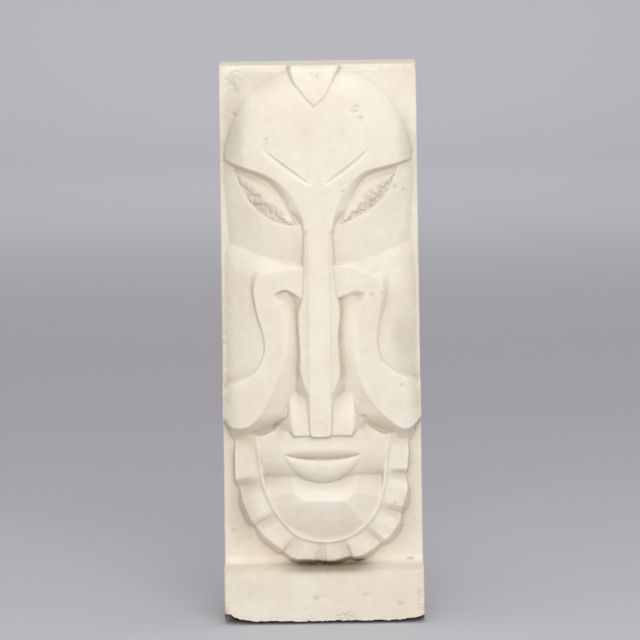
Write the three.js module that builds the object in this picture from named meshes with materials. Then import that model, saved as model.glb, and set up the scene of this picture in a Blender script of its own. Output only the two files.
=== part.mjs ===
// A tall sandstone block with a stylised mask carved on its front, above a plain base.
// Millimetres, +Z up, the mask looks towards -Y. The origin is under the middle of the block.
// The mask is drawn as a relief: a height above the block's background plane for every place
// on its front. The drawing keeps its own units, one to a millimetre on the real block, with
// x sideways from the middle and z up from the underside, and it follows the block's sizes.

import * as THREE from 'three';

// Sizes of the block
const BLOCK_HEIGHT = 562;
const BLOCK_DEPTH = 115;
const BASE_WIDTH = 202;
const TOP_WIDTH = 198;
const BASE_HEIGHT = 55;
const RELIEF_DEPTH = 40;
const EDGE_WEAR = 2.5;
const CORNER_RADIUS = 5;
const FOOT_WEAR = 2.5;
const FOOT_CORNER_WEAR = 11;
const FOOT_CORNER = { from: 70, run: 30, power: 3 };
const LEDGE_SLOPE_RUN = 1.2;
const COVE_RADIUS = 16;

// Spacing of the facets
const LINE_STEP = 3.8;
const FIELD_STEP = 8.8;
const BORDER_STEP = 11;
const LEAST_GAP = 2.3;

// Limits of the drawing
const DRAWN_HALF_WIDTH = 100;
const DRAWN_BASE = 55;
const DRAWN_TOP = 563;
const DRAWN_RELIEF = 40;

const SANDSTONE = '#e8dfcc';

// Small helpers
const clamp = (value, low = 0, high = 1) => Math.min(high, Math.max(low, value));
const mix = (a, b, share) => a + (b - a) * share;

/** A share from 0 to 1 that starts and ends gently. */
function ease(value) {
  const share = clamp(value);
  return share * share * (3 - 2 * share);
}

/** A smooth line through hand-set places, as short straight steps. */
function smoothLine(places, stepsEach = 5) {
  const curve = new THREE.SplineCurve(places.map(([x, z]) => new THREE.Vector2(x, z)));
  return curve.getPoints((places.length - 1) * stepsEach);
}

/** How far a place is from a line, and the share of the line's length where it is nearest. */
function nearest(line, x, z) {
  let best = Infinity;
  let along = 0;
  let walked = 0;
  for (let i = 1; i < line.length; i += 1) {
    const a = line[i - 1];
    const run = line[i].x - a.x;
    const rise = line[i].y - a.y;
    const length = Math.hypot(run, rise) || 1e-9;
    const share = clamp(((x - a.x) * run + (z - a.y) * rise) / (length * length));
    const distance = Math.hypot(x - a.x - run * share, z - a.y - rise * share);
    if (distance < best) {
      best = distance;
      along = walked + length * share;
    }
    walked += length;
  }
  return { distance: best, share: along / walked };
}

/** Whether a place is inside a closed outline. */
function isInside(outline, x, z) {
  let inside = false;
  for (let i = 0, j = outline.length - 1; i < outline.length; j = i, i += 1) {
    const a = outline[i];
    const b = outline[j];
    if (a.y > z !== b.y > z && x < ((b.x - a.x) * (z - a.y)) / (b.y - a.y) + a.x) inside = !inside;
  }
  return inside;
}

/** Distance inside a closed outline, and below zero outside it. */
function depthInside(outline, x, z) {
  const distance = nearest([...outline, outline[0]], x, z).distance;
  return isInside(outline, x, z) ? distance : -distance;
}

/** How far a wall has fallen at a distance outside its edge, with the edge rounded. */
function wallDrop(outside, slope, rounding) {
  if (outside <= -rounding) return 0;
  if (outside >= rounding) return slope * outside;
  return (slope * (outside + rounding) ** 2) / (4 * rounding);
}

/** Height of a raised form: its face inside the outline and its wall outside. */
function raised(form, x, z) {
  const outside = -depthInside(form.outline, x, z);
  const slope = typeof form.slope === 'function' ? form.slope(x, z) : form.slope;
  return form.face(x, z) - wallDrop(outside, slope, form.rounding);
}

/** A share that swells from nothing at both ends of a span to one in its middle. */
function swell(position, halfSpan, power) {
  return (1 - Math.min(1, Math.abs(position / halfSpan)) ** 2) ** power;
}

// The forehead: a shallow cap that ends below in the two brows
const CAP = { x: -1, z: 469, halfWidth: 95, rise: 95, rim: 9, swell: 21, flatness: 7, steps: 40 };
const BROW_LEFT = smoothLine([
  [-96, 469], [-74, 461.5], [-49, 452], [-29, 435], [-18, 413], [-15, 397],
]);
const BROW_RIGHT = smoothLine([
  [94, 468], [70, 462.5], [45, 456], [28, 440.5], [17, 420], [12, 397],
]);
const BROW = { soft: 0.9, steep: 3, from: 52, run: 26 };

function capFace(x, z) {
  const up = Math.max(0, (z - CAP.z) / CAP.rise);
  const radius = Math.min(1, Math.hypot((x - CAP.x) / CAP.halfWidth, up));
  return CAP.rim + CAP.swell * (1 - radius ** CAP.flatness);
}

function capOutline() {
  const arc = [];
  for (let i = 1; i < CAP.steps; i += 1) {
    const angle = (Math.PI * i) / CAP.steps;
    const x = CAP.x + CAP.halfWidth * Math.cos(angle);
    arc.push(new THREE.Vector2(x, CAP.z + CAP.rise * Math.sin(angle)));
  }
  return [...arc, ...BROW_LEFT, ...[...BROW_RIGHT].reverse()];
}

const forehead = {
  outline: capOutline(),
  face: capFace,
  slope: (x) => mix(BROW.soft, BROW.steep, ease((Math.abs(x) - BROW.from) / BROW.run)),
  rounding: 0.6,
};

// The corners above the cap, hollowed up to its rim
const SPANDREL = { level: 4, hollow: 5, run: 12, foot: 460, rise: 14 };

function spandrel(x, z) {
  const away = Math.max(0, Math.hypot(x - CAP.x, z - CAP.z) - CAP.halfWidth);
  const height = SPANDREL.level + SPANDREL.hollow * Math.exp(-away / SPANDREL.run);
  return height * ease((z - SPANDREL.foot) / SPANDREL.rise);
}

// Two incised strokes over the brows: a short wall above and a long slope below
const STROKES = [
  smoothLine([[-55, 479], [-33, 462], [-10, 445]]),
  smoothLine([[49, 478], [32, 463.5], [8, 446]]),
];
const STROKE = { depth: 2.3, above: 1.3, below: 4.5, taper: 0.5 };

/** Height of a line that runs steadily sideways, at a place across it. */
function levelAt(line, x) {
  const passing = line.findIndex((place, i) => i > 0 && (place.x - x) * (line[i - 1].x - x) <= 0);
  const end = line[Math.max(1, passing)];
  const start = line[Math.max(1, passing) - 1];
  return mix(start.y, end.y, clamp((x - start.x) / (end.x - start.x)));
}

function strokeCut(x, z) {
  let cut = 0;
  for (const line of STROKES) {
    const { distance, share } = nearest(line, x, z);
    const taper = Math.sin(Math.PI * clamp(share, 0.01, 0.99)) ** STROKE.taper;
    const width = (z > levelAt(line, x) ? STROKE.above : STROKE.below) * taper;
    cut = Math.max(cut, STROKE.depth * taper * (1 - distance / width));
  }
  return cut;
}

// The flat wedge at the top of the forehead, with a groove along its two sides
const WEDGE = {
  tipX: -4.5, tipZ: 521.5, high: 30, low: 20, lean: 1.5, groove: 1.7, grooveHalf: 2, above: 20,
};
const wedgeSides = [
  ...smoothLine([[-27.5, DRAWN_TOP], [-26.3, 550], [-19.5, 539], [-11.5, 529], [WEDGE.tipX, WEDGE.tipZ]]),
  ...smoothLine([
    [WEDGE.tipX, WEDGE.tipZ], [2.5, 527.5], [7.5, 532], [12.7, 541], [16.7, 551], [20.5, DRAWN_TOP],
  ]),
];
const wedgeOutline = [
  ...wedgeSides,
  new THREE.Vector2(wedgeSides.at(-1).x, DRAWN_TOP + WEDGE.above),
  new THREE.Vector2(wedgeSides[0].x, DRAWN_TOP + WEDGE.above),
];

function wedgeFace(x, z) {
  const up = clamp((z - WEDGE.tipZ) / (DRAWN_TOP - WEDGE.tipZ));
  return mix(WEDGE.high, WEDGE.low, up ** WEDGE.lean);
}

const wedge = { outline: wedgeOutline, face: wedgeFace, slope: 3.5, rounding: 0.5 };

function wedgeCut(x, z) {
  return WEDGE.groove * (1 - nearest(wedgeSides, x, z).distance / WEDGE.grooveHalf);
}

// The cheeks: a barrel across the block, folded along a crease below the eyes
const CHEEK = {
  height: 27.5, fall: 27, span: 98, curve: 2.6, fold: 5.5, easing: 0.2, tilt: 0.07, ramp: 11,
  top: 470, topRun: 4, foot: 200, footRun: 40,
};
const CREASE = { level: 356, rise: 0.24, curve: 0.0008 };

function creaseHeight(x) {
  return CREASE.level + CREASE.rise * Math.abs(x) + CREASE.curve * x * x;
}

function cheek(x, z) {
  const out = Math.abs(x) / CHEEK.span;
  const barrel = CHEEK.height - CHEEK.fall * out ** CHEEK.curve;
  const fold = CHEEK.fold * (1 - CHEEK.easing * out);
  const over = z - creaseHeight(x);
  const above = barrel - fold + Math.min(fold, over * CHEEK.tilt);
  const folded = over > 0 ? above : barrel - fold * Math.exp(over / CHEEK.ramp);
  return folded * ease((z - CHEEK.foot) / CHEEK.footRun) * ease((CHEEK.top - z) / CHEEK.topRun);
}

// The eyes: a ball in a socket between the brow's wall and the lower lid
const LID_LEFT = smoothLine([[-88, 463], [-83, 448], [-71, 425], [-51, 408], [-33, 402], [-17, 402]]);
const LID_RIGHT = smoothLine([[81, 463], [77, 448], [66, 429], [46, 413], [30, 405.5], [15, 402]]);
const EYE = { depth: 4.5, ball: 4, wallRun: 7, rimSlope: 1.5, high: 0.85 };
const eyes = [
  { lid: LID_LEFT, brow: BROW_LEFT },
  { lid: LID_RIGHT, brow: BROW_RIGHT },
].map((eye) => ({ ...eye, outline: [...eye.lid, ...[...eye.brow].reverse()] }));

function eyeHeight(eye, x, z) {
  const toLid = nearest(eye.lid, x, z).distance;
  const toWall = Math.max(0, nearest(eye.brow, x, z).distance - EYE.wallRun);
  const share = toWall / (toWall + toLid + 1e-6);
  const level = cheek(x, z);
  const ball = level - EYE.depth + EYE.ball * Math.sin(Math.PI * share ** EYE.high);
  return Math.max(ball, level - EYE.rimSlope * toLid);
}

// The nose: a flat ridge with flanks, which the scrolls' arms and the wings join
const NOSE = {
  x: -1.5, half: 10.3, top: 404, bottom: 190.5, high: 30, tip: 39.5, step: 1.6, stepRun: 1.8, flankTilt: 0.3,
};
const NOSE_WALL = {
  steep: 3.2, flush: 1.6, flushZ: 325, flushRun: 25,
  soft: 1.2, softZ: 258, softRun: 18, softFoot: 194, softRise: 5, end: 4, endZ: 225,
};
const NOSE_LEFT = smoothLine([
  [-14.5, 408], [-15.5, 362], [-17, 333], [-22, 312], [-20.5, 275], [-20.5, 254], [-13, 232],
]);
const NOSE_RIGHT = smoothLine([
  [11.5, 408], [12.5, 362], [16, 333], [19, 316], [16.5, 290], [18, 262], [17, 248], [10, 232],
]);

function noseFace(x, z) {
  const ridge = mix(NOSE.high, NOSE.tip, clamp((NOSE.top - z) / (NOSE.top - NOSE.bottom)));
  const across = Math.max(0, Math.abs(x - NOSE.x) - NOSE.half);
  const step = NOSE.step * clamp(across / NOSE.stepRun);
  return ridge - step - NOSE.flankTilt * Math.max(0, across - NOSE.stepRun);
}

/** The walls are steep beside the furrows and at the end, and soft over the wings. */
function noseSlope(x, z) {
  const upper = mix(NOSE_WALL.steep, NOSE_WALL.flush, ease((z - NOSE_WALL.flushZ) / NOSE_WALL.flushRun));
  const wall = z > NOSE_WALL.endZ ? upper : NOSE_WALL.end;
  const overWings = ease((NOSE_WALL.softZ - z) / NOSE_WALL.softRun);
  return mix(wall, NOSE_WALL.soft, overWings * ease((z - NOSE_WALL.softFoot) / NOSE_WALL.softRise));
}

const noseEnd = smoothLine([
  [-12.5, 222], [-12, 202], [-11.2, 193], [-8.5, 190.8], [5.5, 190.8], [8.2, 193], [9, 202], [9.5, 222],
]);
const nose = {
  outline: [...NOSE_LEFT, ...noseEnd, ...[...NOSE_RIGHT].reverse()],
  face: noseFace,
  slope: noseSlope,
  rounding: 0.5,
};

// The wings of the nose lean back as they rise, the more the farther out
const WING = {
  foot: 35, leanIn: 5, leanOut: 20, leanRun: 16, tall: 48, power: 2, wall: 1.5, end: 4, endRun: 6,
};

function wingFace(x, z) {
  const out = (Math.abs(x - NOSE.x) - NOSE.half) / WING.leanRun;
  const up = clamp((z - NOSE.bottom) / WING.tall, 0, 1.2);
  return WING.foot - mix(WING.leanIn, WING.leanOut, ease(out)) * up ** WING.power;
}

const wings = [
  smoothLine([
    [-11, 190.5], [-26, 190.5], [-28, 191], [-29.3, 194], [-31, 208], [-31.5, 222], [-28, 236], [-19, 244],
    [-11, 242],
  ]),
  smoothLine([
    [9, 190.5], [27.5, 190.5], [29.5, 191], [30.5, 194], [32, 208], [32.5, 222], [29, 236], [20, 244],
    [9, 242],
  ]),
].map((outline) => ({
  outline,
  face: wingFace,
  slope: (x, z) => mix(WING.end, WING.wall, ease((z - NOSE.bottom) / WING.endRun)),
  rounding: 2,
}));

// The scrolls: an arm from the nose, a band down the cheek and a round lobe at its end
const SCROLL = {
  height: 28.5, fall: 8.5, curve: 1.2, shoulder: 80, turn: 0.022,
  slope: 3, soft: 1, softFrom: 12, softRun: 16,
};
const SCROLL_LEFT = smoothLine([
  [-14, 361], [-42, 358], [-61, 352.5], [-67, 338], [-64, 315], [-57.5, 291], [-57.5, 272], [-67, 254],
  [-82, 244.5], [-99, 236], [-106, 219], [-96, 201], [-79, 198], [-66, 206.5], [-54, 224.5],
  [-44, 247.5], [-36, 270], [-32.5, 294], [-37, 314], [-47, 331], [-37, 338.5], [-26, 334], [-14, 323],
]);
const SCROLL_RIGHT = smoothLine([
  [12, 362], [34, 360], [50, 352], [61, 348], [62, 330], [57, 303], [56.5, 282], [61, 265], [72, 254],
  [84, 247], [99, 240], [106, 221], [97, 202], [82, 195.5], [66, 206.5], [48, 227], [38, 250],
  [34, 275], [33.5, 297], [39, 318], [46, 332], [34, 336.5], [12, 327],
]);

/** The scrolls' faces follow the cheeks and turn back at the block's sides. */
function scrollFace(x) {
  const out = Math.abs(x);
  const turned = SCROLL.turn * Math.max(0, out - SCROLL.shoulder) ** 2;
  return SCROLL.height - SCROLL.fall * (out / CHEEK.span) ** SCROLL.curve - turned;
}

const scrolls = [
  { outline: SCROLL_LEFT, from: 325, run: 35 },
  { outline: SCROLL_RIGHT, from: 262, run: 40 },
].map(({ outline, from, run }) => ({
  outline,
  face: scrollFace,
  slope: (x, z) => {
    const alongArm = ease((Math.abs(x) - SCROLL.softFrom) / SCROLL.softRun) * ease((z - from) / run);
    return mix(SCROLL.slope, SCROLL.soft, alongArm);
  },
  rounding: 0.7,
}));

// The furrow inside each scroll, under its arm and down along the nose
const FURROW_LEFT = smoothLine([
  [-47, 331], [-37, 337.5], [-26, 333], [-22.5, 312], [-21.5, 275], [-24.5, 240],
]);
const FURROW_RIGHT = smoothLine([[46, 332], [34, 335.5], [22, 330], [18.5, 305], [18, 272], [24, 238]]);
const FURROW = { depth: 9, shoaling: 0.5, width: 3.6, widening: 3, start: 0.2, end: 0.12 };

// The hollow between each scroll and the nose, which deepens downwards
const HOLLOW = { depth: 4, fall: 4.5, from: 305, fallRun: 90, drop: 14, dropFrom: 214, dropRun: 24, run: 9 };
const BETWEEN = { top: 341, half: 46, wideningFrom: 275, widening: 0.6 };

function hollowHeight(x, z) {
  const scroll = scrolls[x < 0 ? 0 : 1];
  const outside = Math.max(0, -depthInside(scroll.outline, x, z));
  const upper = HOLLOW.depth + HOLLOW.fall * ease((HOLLOW.from - z) / HOLLOW.fallRun);
  const depth = upper + HOLLOW.drop * ease((HOLLOW.dropFrom - z) / HOLLOW.dropRun);
  const { distance, share } = nearest(x < 0 ? FURROW_LEFT : FURROW_RIGHT, x, z);
  const ends = ease(share / FURROW.start) * ease((1 - share) / FURROW.end);
  const width = FURROW.width + FURROW.widening * (1 - share);
  const cut = FURROW.depth * ends * (1 - FURROW.shoaling * share) * Math.exp(-distance / width);
  return scrollFace(x) - depth * (1 - Math.exp(-outside / HOLLOW.run)) - cut;
}

/** Whether a place lies on the nose's side of the scrolls. */
function betweenScrolls(x, z) {
  const half = BETWEEN.half + Math.max(0, BETWEEN.wideningFrom - z) * BETWEEN.widening;
  return z < BETWEEN.top && Math.abs(x) < half && !scrolls.some((scroll) => isInside(scroll.outline, x, z));
}

// The muzzle and the lips
const VALLEYS = [
  smoothLine([[-36, 208], [-48, 197.5], [-66, 188]]),
  smoothLine([[37, 208], [52, 197], [66, 189]]),
];
const MUZZLE = {
  height: 32, fall: 15, span: 62, valley: 14, least: 0.06, riseIn: 9, riseOut: 27, riseFrom: 36, riseRun: 24,
  under: 168, underRun: 24, underPower: 2.2, tuck: 8, tuckOut: 0.067,
};
const LIPS = {
  half: 39, corner: 171, top: 7, line: 5, bottom: 28, cut: 5.5, cutPower: 1.6,
  swell: 2.5, tuck: 12, tuckPower: 4, roll: 3.5, rollShare: 0.25, rollPower: 1.5,
};
const LIP_SHAPE = { taper: 0.5, top: 0.7, line: 0.8, bottom: 0.9 };

function muzzleFace(x, z) {
  const barrel = MUZZLE.height - MUZZLE.fall * (Math.abs(x) / MUZZLE.span) ** 2;
  const toValley = Math.min(...VALLEYS.map((line) => nearest(line, x, z).distance));
  const outward = clamp((Math.abs(x) - MUZZLE.riseFrom) / MUZZLE.riseRun);
  const rise = mix(MUZZLE.riseIn, MUZZLE.riseOut, outward);
  const body = mix(MUZZLE.valley, barrel, ease(MUZZLE.least + toValley / rise));
  const down = clamp((MUZZLE.under - z) / MUZZLE.underRun, 0, 2);
  const under = body - down ** MUZZLE.underPower * (MUZZLE.tuck + MUZZLE.tuckOut * Math.abs(x));
  return Math.abs(x) < LIPS.half ? lipHeight(x, z, body, under) : under;
}

/** The lips: the upper one leans back to the mouth's line, the lower one rolls over. */
function lipHeight(x, z, body, under) {
  const taper = swell(x, LIPS.half, LIP_SHAPE.taper);
  const topZ = LIPS.corner + LIPS.top * swell(x, LIPS.half, LIP_SHAPE.top);
  const lineZ = LIPS.corner - LIPS.line * swell(x, LIPS.half, LIP_SHAPE.line);
  const bottomZ = LIPS.corner - LIPS.bottom * swell(x, LIPS.half, LIP_SHAPE.bottom);
  if (z > topZ) return body;
  if (z > lineZ) return body - LIPS.cut * taper * ((topZ - z) / (topZ - lineZ)) ** LIPS.cutPower;
  const down = (lineZ - z) / (lineZ - bottomZ);
  const roll = LIPS.roll * clamp(1 - down / LIPS.rollShare) ** LIPS.rollPower;
  const lip = (LIPS.swell - LIPS.tuck * down ** LIPS.tuckPower - roll) * taper;
  return down < 1 ? Math.max(body + lip, under) : under;
}

// The chin: planes that meet in a level ridge, with a shoulder on either side
const CHIN = { x: 1.5, ridgeZ: 124, ridge: 30, half: 20, brinkZ: 143, topTilt: 0.32, frontTilt: 0.45 };
const CHIN_SIDE = { tilt: 0.42, rise: 0.25 };
const SHOULDER = { height: 13, z: 146, half: 50, tilt: 0.35, turn: 0.5 };

// Where the chin's planes meet, as distances from its middle and heights
const CHIN_CORNERS = {
  ridge: [20, 124], foot: [35, 92], turn: [31, 132], brink: [31, 143], side: [50, 129.5],
};

function chinFace(x, z) {
  const out = Math.abs(x - CHIN.x);
  const brink = CHIN.ridge - (CHIN.brinkZ - CHIN.ridgeZ) * CHIN.topTilt;
  const top = brink + (CHIN.brinkZ - z) * CHIN.topTilt;
  const front = CHIN.ridge - (CHIN.ridgeZ - z) * CHIN.frontTilt;
  const side = CHIN.ridge - (out - CHIN.half) * CHIN_SIDE.tilt + (z - CHIN.ridgeZ) * CHIN_SIDE.rise;
  const inward = (SHOULDER.half - out) * SHOULDER.turn;
  const shoulder = SHOULDER.height + (SHOULDER.z - z) * SHOULDER.tilt + inward;
  return Math.min(top, front, side, shoulder);
}

// The beard: a ruff of scallops around the chin, with a bead along its inner edge
const BEAD = smoothLine([
  [-65, 188], [-63, 163], [-57, 134], [-45, 109], [-26, 89], [1, 82], [28, 88], [49, 106], [59, 129],
  [63, 158], [66, 187],
]);
const RUFF_EDGE = smoothLine([
  [-91, 189], [-91, 146], [-86, 136], [-77, 113], [-71, 101], [-62, 89], [-45, 75], [-31, 64], [-14, 63],
  [4, 60.5], [21, 64], [38, 66], [50, 73], [63, 82], [76, 98], [82, 115], [88, 132], [87, 146], [90, 167],
  [89, 189],
]);
const RUFF = {
  top: 13, bottom: 8, bottomPower: 3, lean: 0.08, wave: 9, waveFrom: 2, waveRun: 22, wavePower: 0.6,
  bead: 2.4, beadHalf: 3.4, beadTop: 186, beadRun: 10,
};
const SCALLOP_ENDS = [0, 0.17, 0.295, 0.4, 0.485, 0.565, 0.65, 0.74, 0.86, 1];
const SCALLOP = { rise: 0.4, fall: 0.2 };

/** Each scallop rises gently from the one above it and rolls over at its lower end. */
function scallopWave(share) {
  const index = SCALLOP_ENDS.findIndex((end) => share < end);
  if (index < 1) return 0;
  const start = SCALLOP_ENDS[index - 1];
  const along = (share - start) / (SCALLOP_ENDS[index] - start);
  const down = share < 0.5 ? along : 1 - along;
  return Math.min(ease(down / SCALLOP.rise), ease((1 - down) / SCALLOP.fall));
}

function ruffFace(x, z) {
  const { distance, share } = nearest(BEAD, x, z);
  const lift = RUFF.top + RUFF.bottom * Math.sin(Math.PI * share) ** RUFF.bottomPower;
  const beadFade = ease((RUFF.beadTop - z) / RUFF.beadRun);
  const bead = RUFF.bead * Math.max(0, 1 - (distance / RUFF.beadHalf) ** 2) * beadFade;
  const outward = ease((distance - RUFF.waveFrom) / RUFF.waveRun) ** RUFF.wavePower;
  return lift - RUFF.lean * distance + RUFF.wave * (scallopWave(share) - 1) * outward + bead;
}

const ruff = { outline: RUFF_EDGE, face: ruffFace, slope: 2, rounding: 0.6 };

// Muzzle and chin lie inside the bead, below the nose and between the valleys
const LOWER = { top: 216, valleys: 190, underNose: 189, underRun: 2, wings: 31, wall: 2.8 };
const lowerOutline = [...BEAD, ...[...VALLEYS[1]].reverse(), ...VALLEYS[0]];

function withLowerFace(before, x, z) {
  if (z > LOWER.top || z < DRAWN_BASE) return before;
  const inside = depthInside(lowerOutline, x, z);
  if (inside <= 0) return before;
  const face = Math.max(muzzleFace(x, z), chinFace(x, z));
  const underNose = Math.abs(x) < LOWER.wings ? ease((z - LOWER.underNose) / LOWER.underRun) : 0;
  const shown = z > LOWER.valleys ? Math.max(face, before) : face;
  return mix(before, shown, ease(inside / LOWER.wall) * (1 - underNose));
}

// The background plane curves out to the top of the base
function background(z) {
  const over = z - DRAWN_BASE;
  if (over < 0) return DRAWN_RELIEF;
  if (over < LEDGE_SLOPE_RUN) return mix(DRAWN_RELIEF, COVE_RADIUS, over / LEDGE_SLOPE_RUN);
  const rise = Math.min(over - LEDGE_SLOPE_RUN, COVE_RADIUS);
  return COVE_RADIUS - Math.sqrt(COVE_RADIUS ** 2 - (COVE_RADIUS - rise) ** 2);
}

/** Height of the relief at a place on the drawing. */
function relief(x, z) {
  if (z < DRAWN_BASE) return DRAWN_RELIEF;
  let height = Math.max(background(z), cheek(x, z), spandrel(x, z));
  if (betweenScrolls(x, z)) height = Math.max(background(z), hollowHeight(x, z));
  for (const eye of eyes) {
    if (isInside(eye.outline, x, z)) height = eyeHeight(eye, x, z);
  }
  const forms = [forehead, wedge, nose, ...wings, ...scrolls, ruff];
  for (const form of forms) height = Math.max(height, raised(form, x, z));
  height = withLowerFace(height, x, z);
  return height - Math.max(0, strokeCut(x, z)) - Math.max(0, wedgeCut(x, z));
}

// From the drawing to the block
function blockHalfWidth(z) {
  return mix(BASE_WIDTH, TOP_WIDTH, z / BLOCK_HEIGHT) / 2;
}

function toBlock(x, z) {
  const drawn = (z - DRAWN_BASE) / (DRAWN_TOP - DRAWN_BASE);
  const up = z < DRAWN_BASE ? (z * BASE_HEIGHT) / DRAWN_BASE : mix(BASE_HEIGHT, BLOCK_HEIGHT, drawn);
  return { x: (x / DRAWN_HALF_WIDTH) * blockHalfWidth(up), z: up };
}

function frontOf(height) {
  return -BLOCK_DEPTH / 2 + RELIEF_DEPTH * (1 - height / DRAWN_RELIEF);
}

/** Places that the facets pass through, none closer to another than the least gap. */
class Places {
  constructor() {
    this.list = [];
    this.cells = new Map();
  }

  near(x, z, gap) {
    const reach = Math.ceil(gap / LEAST_GAP);
    const column = Math.floor(x / LEAST_GAP);
    const row = Math.floor(z / LEAST_GAP);
    for (let i = column - reach; i <= column + reach; i += 1) {
      for (let j = row - reach; j <= row + reach; j += 1) {
        for (const other of this.cells.get(`${i},${j}`) ?? []) {
          if (Math.hypot(other.x - x, other.z - z) < gap) return true;
        }
      }
    }
    return false;
  }

  add(x, z, gap = LEAST_GAP) {
    if (this.near(x, z, gap)) return false;
    const place = { x, z };
    const key = `${Math.floor(x / LEAST_GAP)},${Math.floor(z / LEAST_GAP)}`;
    if (!this.cells.has(key)) this.cells.set(key, []);
    this.cells.get(key).push(place);
    this.list.push(place);
    return true;
  }
}

/** Even steps along a line, each with the line's left-hand direction. */
function stepsAlong(line, step) {
  const path = new THREE.CurvePath();
  for (let i = 1; i < line.length; i += 1) {
    if (line[i].distanceTo(line[i - 1]) > 1e-6) path.add(new THREE.LineCurve(line[i - 1], line[i]));
  }
  const count = Math.max(1, Math.round(path.getLength() / step));
  const steps = [];
  for (let i = 0; i <= count; i += 1) {
    const place = path.getPointAt(i / count);
    const ahead = path.getTangentAt(clamp(i / count, 0.001, 0.999));
    steps.push({ place, side: new THREE.Vector2(-ahead.y, ahead.x) });
  }
  return steps;
}

/** Adds a line's own places and the ones at the given distances to its left and right. */
function addLine(places, line, offsets = [0], step = LINE_STEP) {
  for (const { place, side } of stepsAlong(line, step)) {
    for (const offset of offsets) {
      const x = place.x + side.x * offset;
      const z = place.y + side.y * offset;
      if (isOnFront(x, z)) places.add(x, z);
    }
  }
}

// How the foot of a form's wall is looked for outside its edge
const WALK = { start: 0.4, step: 0.4, least: 1.4, most: 16, gap: 1.2, tolerance: 0.05 };

/** Adds a form's upper edge and the foot of its wall, found by walking out from the edge. */
function addForm(places, form) {
  const closed = [...form.outline, form.outline[0]];
  for (const { place, side } of stepsAlong(closed, LINE_STEP)) {
    const outward = depthInside(form.outline, place.x + side.x, place.y + side.y) < 0 ? 1 : -1;
    const walk = (far) => [place.x + side.x * outward * far, place.y + side.y * outward * far];
    const shows = ([x, z]) => isOnFront(x, z) && relief(x, z) < raised(form, x, z) + WALK.tolerance;
    if (!shows(walk(WALK.start))) continue;
    const edge = walk(-WALK.start);
    if (isOnFront(...edge)) places.add(...edge, WALK.gap);
    let foot = WALK.start;
    while (foot < WALK.most && shows(walk(foot + WALK.step))) foot += WALK.step;
    const base = walk(Math.max(foot, WALK.least));
    if (isOnFront(...base)) places.add(...base, WALK.gap);
  }
}

// The front's border, an outline with rounded corners
const BORDER = { left: -98, right: 98, top: DRAWN_TOP - EDGE_WEAR, inner: 2 };

function isOnFront(x, z) {
  const across = x > BORDER.left + BORDER.inner && x < BORDER.right - BORDER.inner;
  return across && z > footEdge(x) + BORDER.inner && z < BORDER.top - BORDER.inner;
}

/** How high the worn lower edge of the base stands at a place across it. */
function footEdge(x) {
  const corner = clamp((Math.abs(x) - FOOT_CORNER.from) / FOOT_CORNER.run) ** FOOT_CORNER.power;
  return FOOT_WEAR + (x < 0 ? FOOT_CORNER_WEAR : FOOT_WEAR) * corner;
}

/** The border's places, in order, each with the way out of the block. */
function borderPlaces() {
  const border = [];
  const across = Math.round((BORDER.right - BORDER.left) / BORDER_STEP);
  const levels = sideLevels();
  const cut = CORNER_RADIUS / 5;
  for (let i = 0; i <= across; i += 1) {
    const x = mix(BORDER.left, BORDER.right, i / across);
    border.push({ x, z: footEdge(x), out: [i === 0 ? -1 : i === across ? 1 : 0, -1] });
  }
  for (const z of levels) border.push({ x: BORDER.right, z, out: [1, 0] });
  border.push({ x: BORDER.right - cut, z: BORDER.top - cut, out: [0.8, 0.8] });
  for (let i = across - 1; i >= 1; i -= 1) {
    border.push({ x: mix(BORDER.left, BORDER.right, i / across), z: BORDER.top, out: [0, 1] });
  }
  border.push({ x: BORDER.left + cut, z: BORDER.top - cut, out: [-0.8, 0.8] });
  for (const z of [...levels].reverse()) border.push({ x: BORDER.left, z, out: [-1, 0] });
  return border;
}

/** Levels of the border's places up the sides, with the ledge's two edges among them. */
function sideLevels() {
  const levels = [0.4, 0.7].map((share) => share * DRAWN_BASE);
  levels.push(DRAWN_BASE - 0.2, DRAWN_BASE + LEDGE_SLOPE_RUN);
  const first = DRAWN_BASE + LEDGE_SLOPE_RUN + COVE_RADIUS / 3;
  const last = BORDER.top - CORNER_RADIUS;
  const count = Math.round((last - first) / BORDER_STEP);
  for (let i = 0; i <= count; i += 1) levels.push(mix(first, last, i / count));
  return levels;
}

/** Every place on the front through which the facets pass. */
function frontPlaces(border) {
  const places = new Places();
  for (const place of border) places.add(place.x, place.z, 0.01);
  const ledge = [new THREE.Vector2(BORDER.left, DRAWN_BASE), new THREE.Vector2(BORDER.right, DRAWN_BASE)];
  for (const { place } of stepsAlong(ledge, 8)) {
    for (const level of [DRAWN_BASE - 0.2, DRAWN_BASE + LEDGE_SLOPE_RUN]) {
      if (isOnFront(place.x, level)) places.add(place.x, level, 1);
    }
  }
  for (const form of [nose, ...wings, ...scrolls, forehead, ruff]) addForm(places, form);
  addLine(places, wedgeSides, [-WEDGE.grooveHalf, 0, WEDGE.grooveHalf]);
  for (const line of STROKES) addLine(places, line, [-STROKE.above, 0, STROKE.below]);
  for (const eye of eyes) addLine(places, eye.lid, [0, -2.6, 2.6]);
  addLine(places, BEAD, [-2.6, 0, 2.6]);
  for (const line of VALLEYS) addLine(places, line);
  for (const line of [FURROW_LEFT, FURROW_RIGHT]) addLine(places, line, [-3, 0, 3]);
  addInnerLines(places);
  addField(places);
  return places.list;
}

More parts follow.
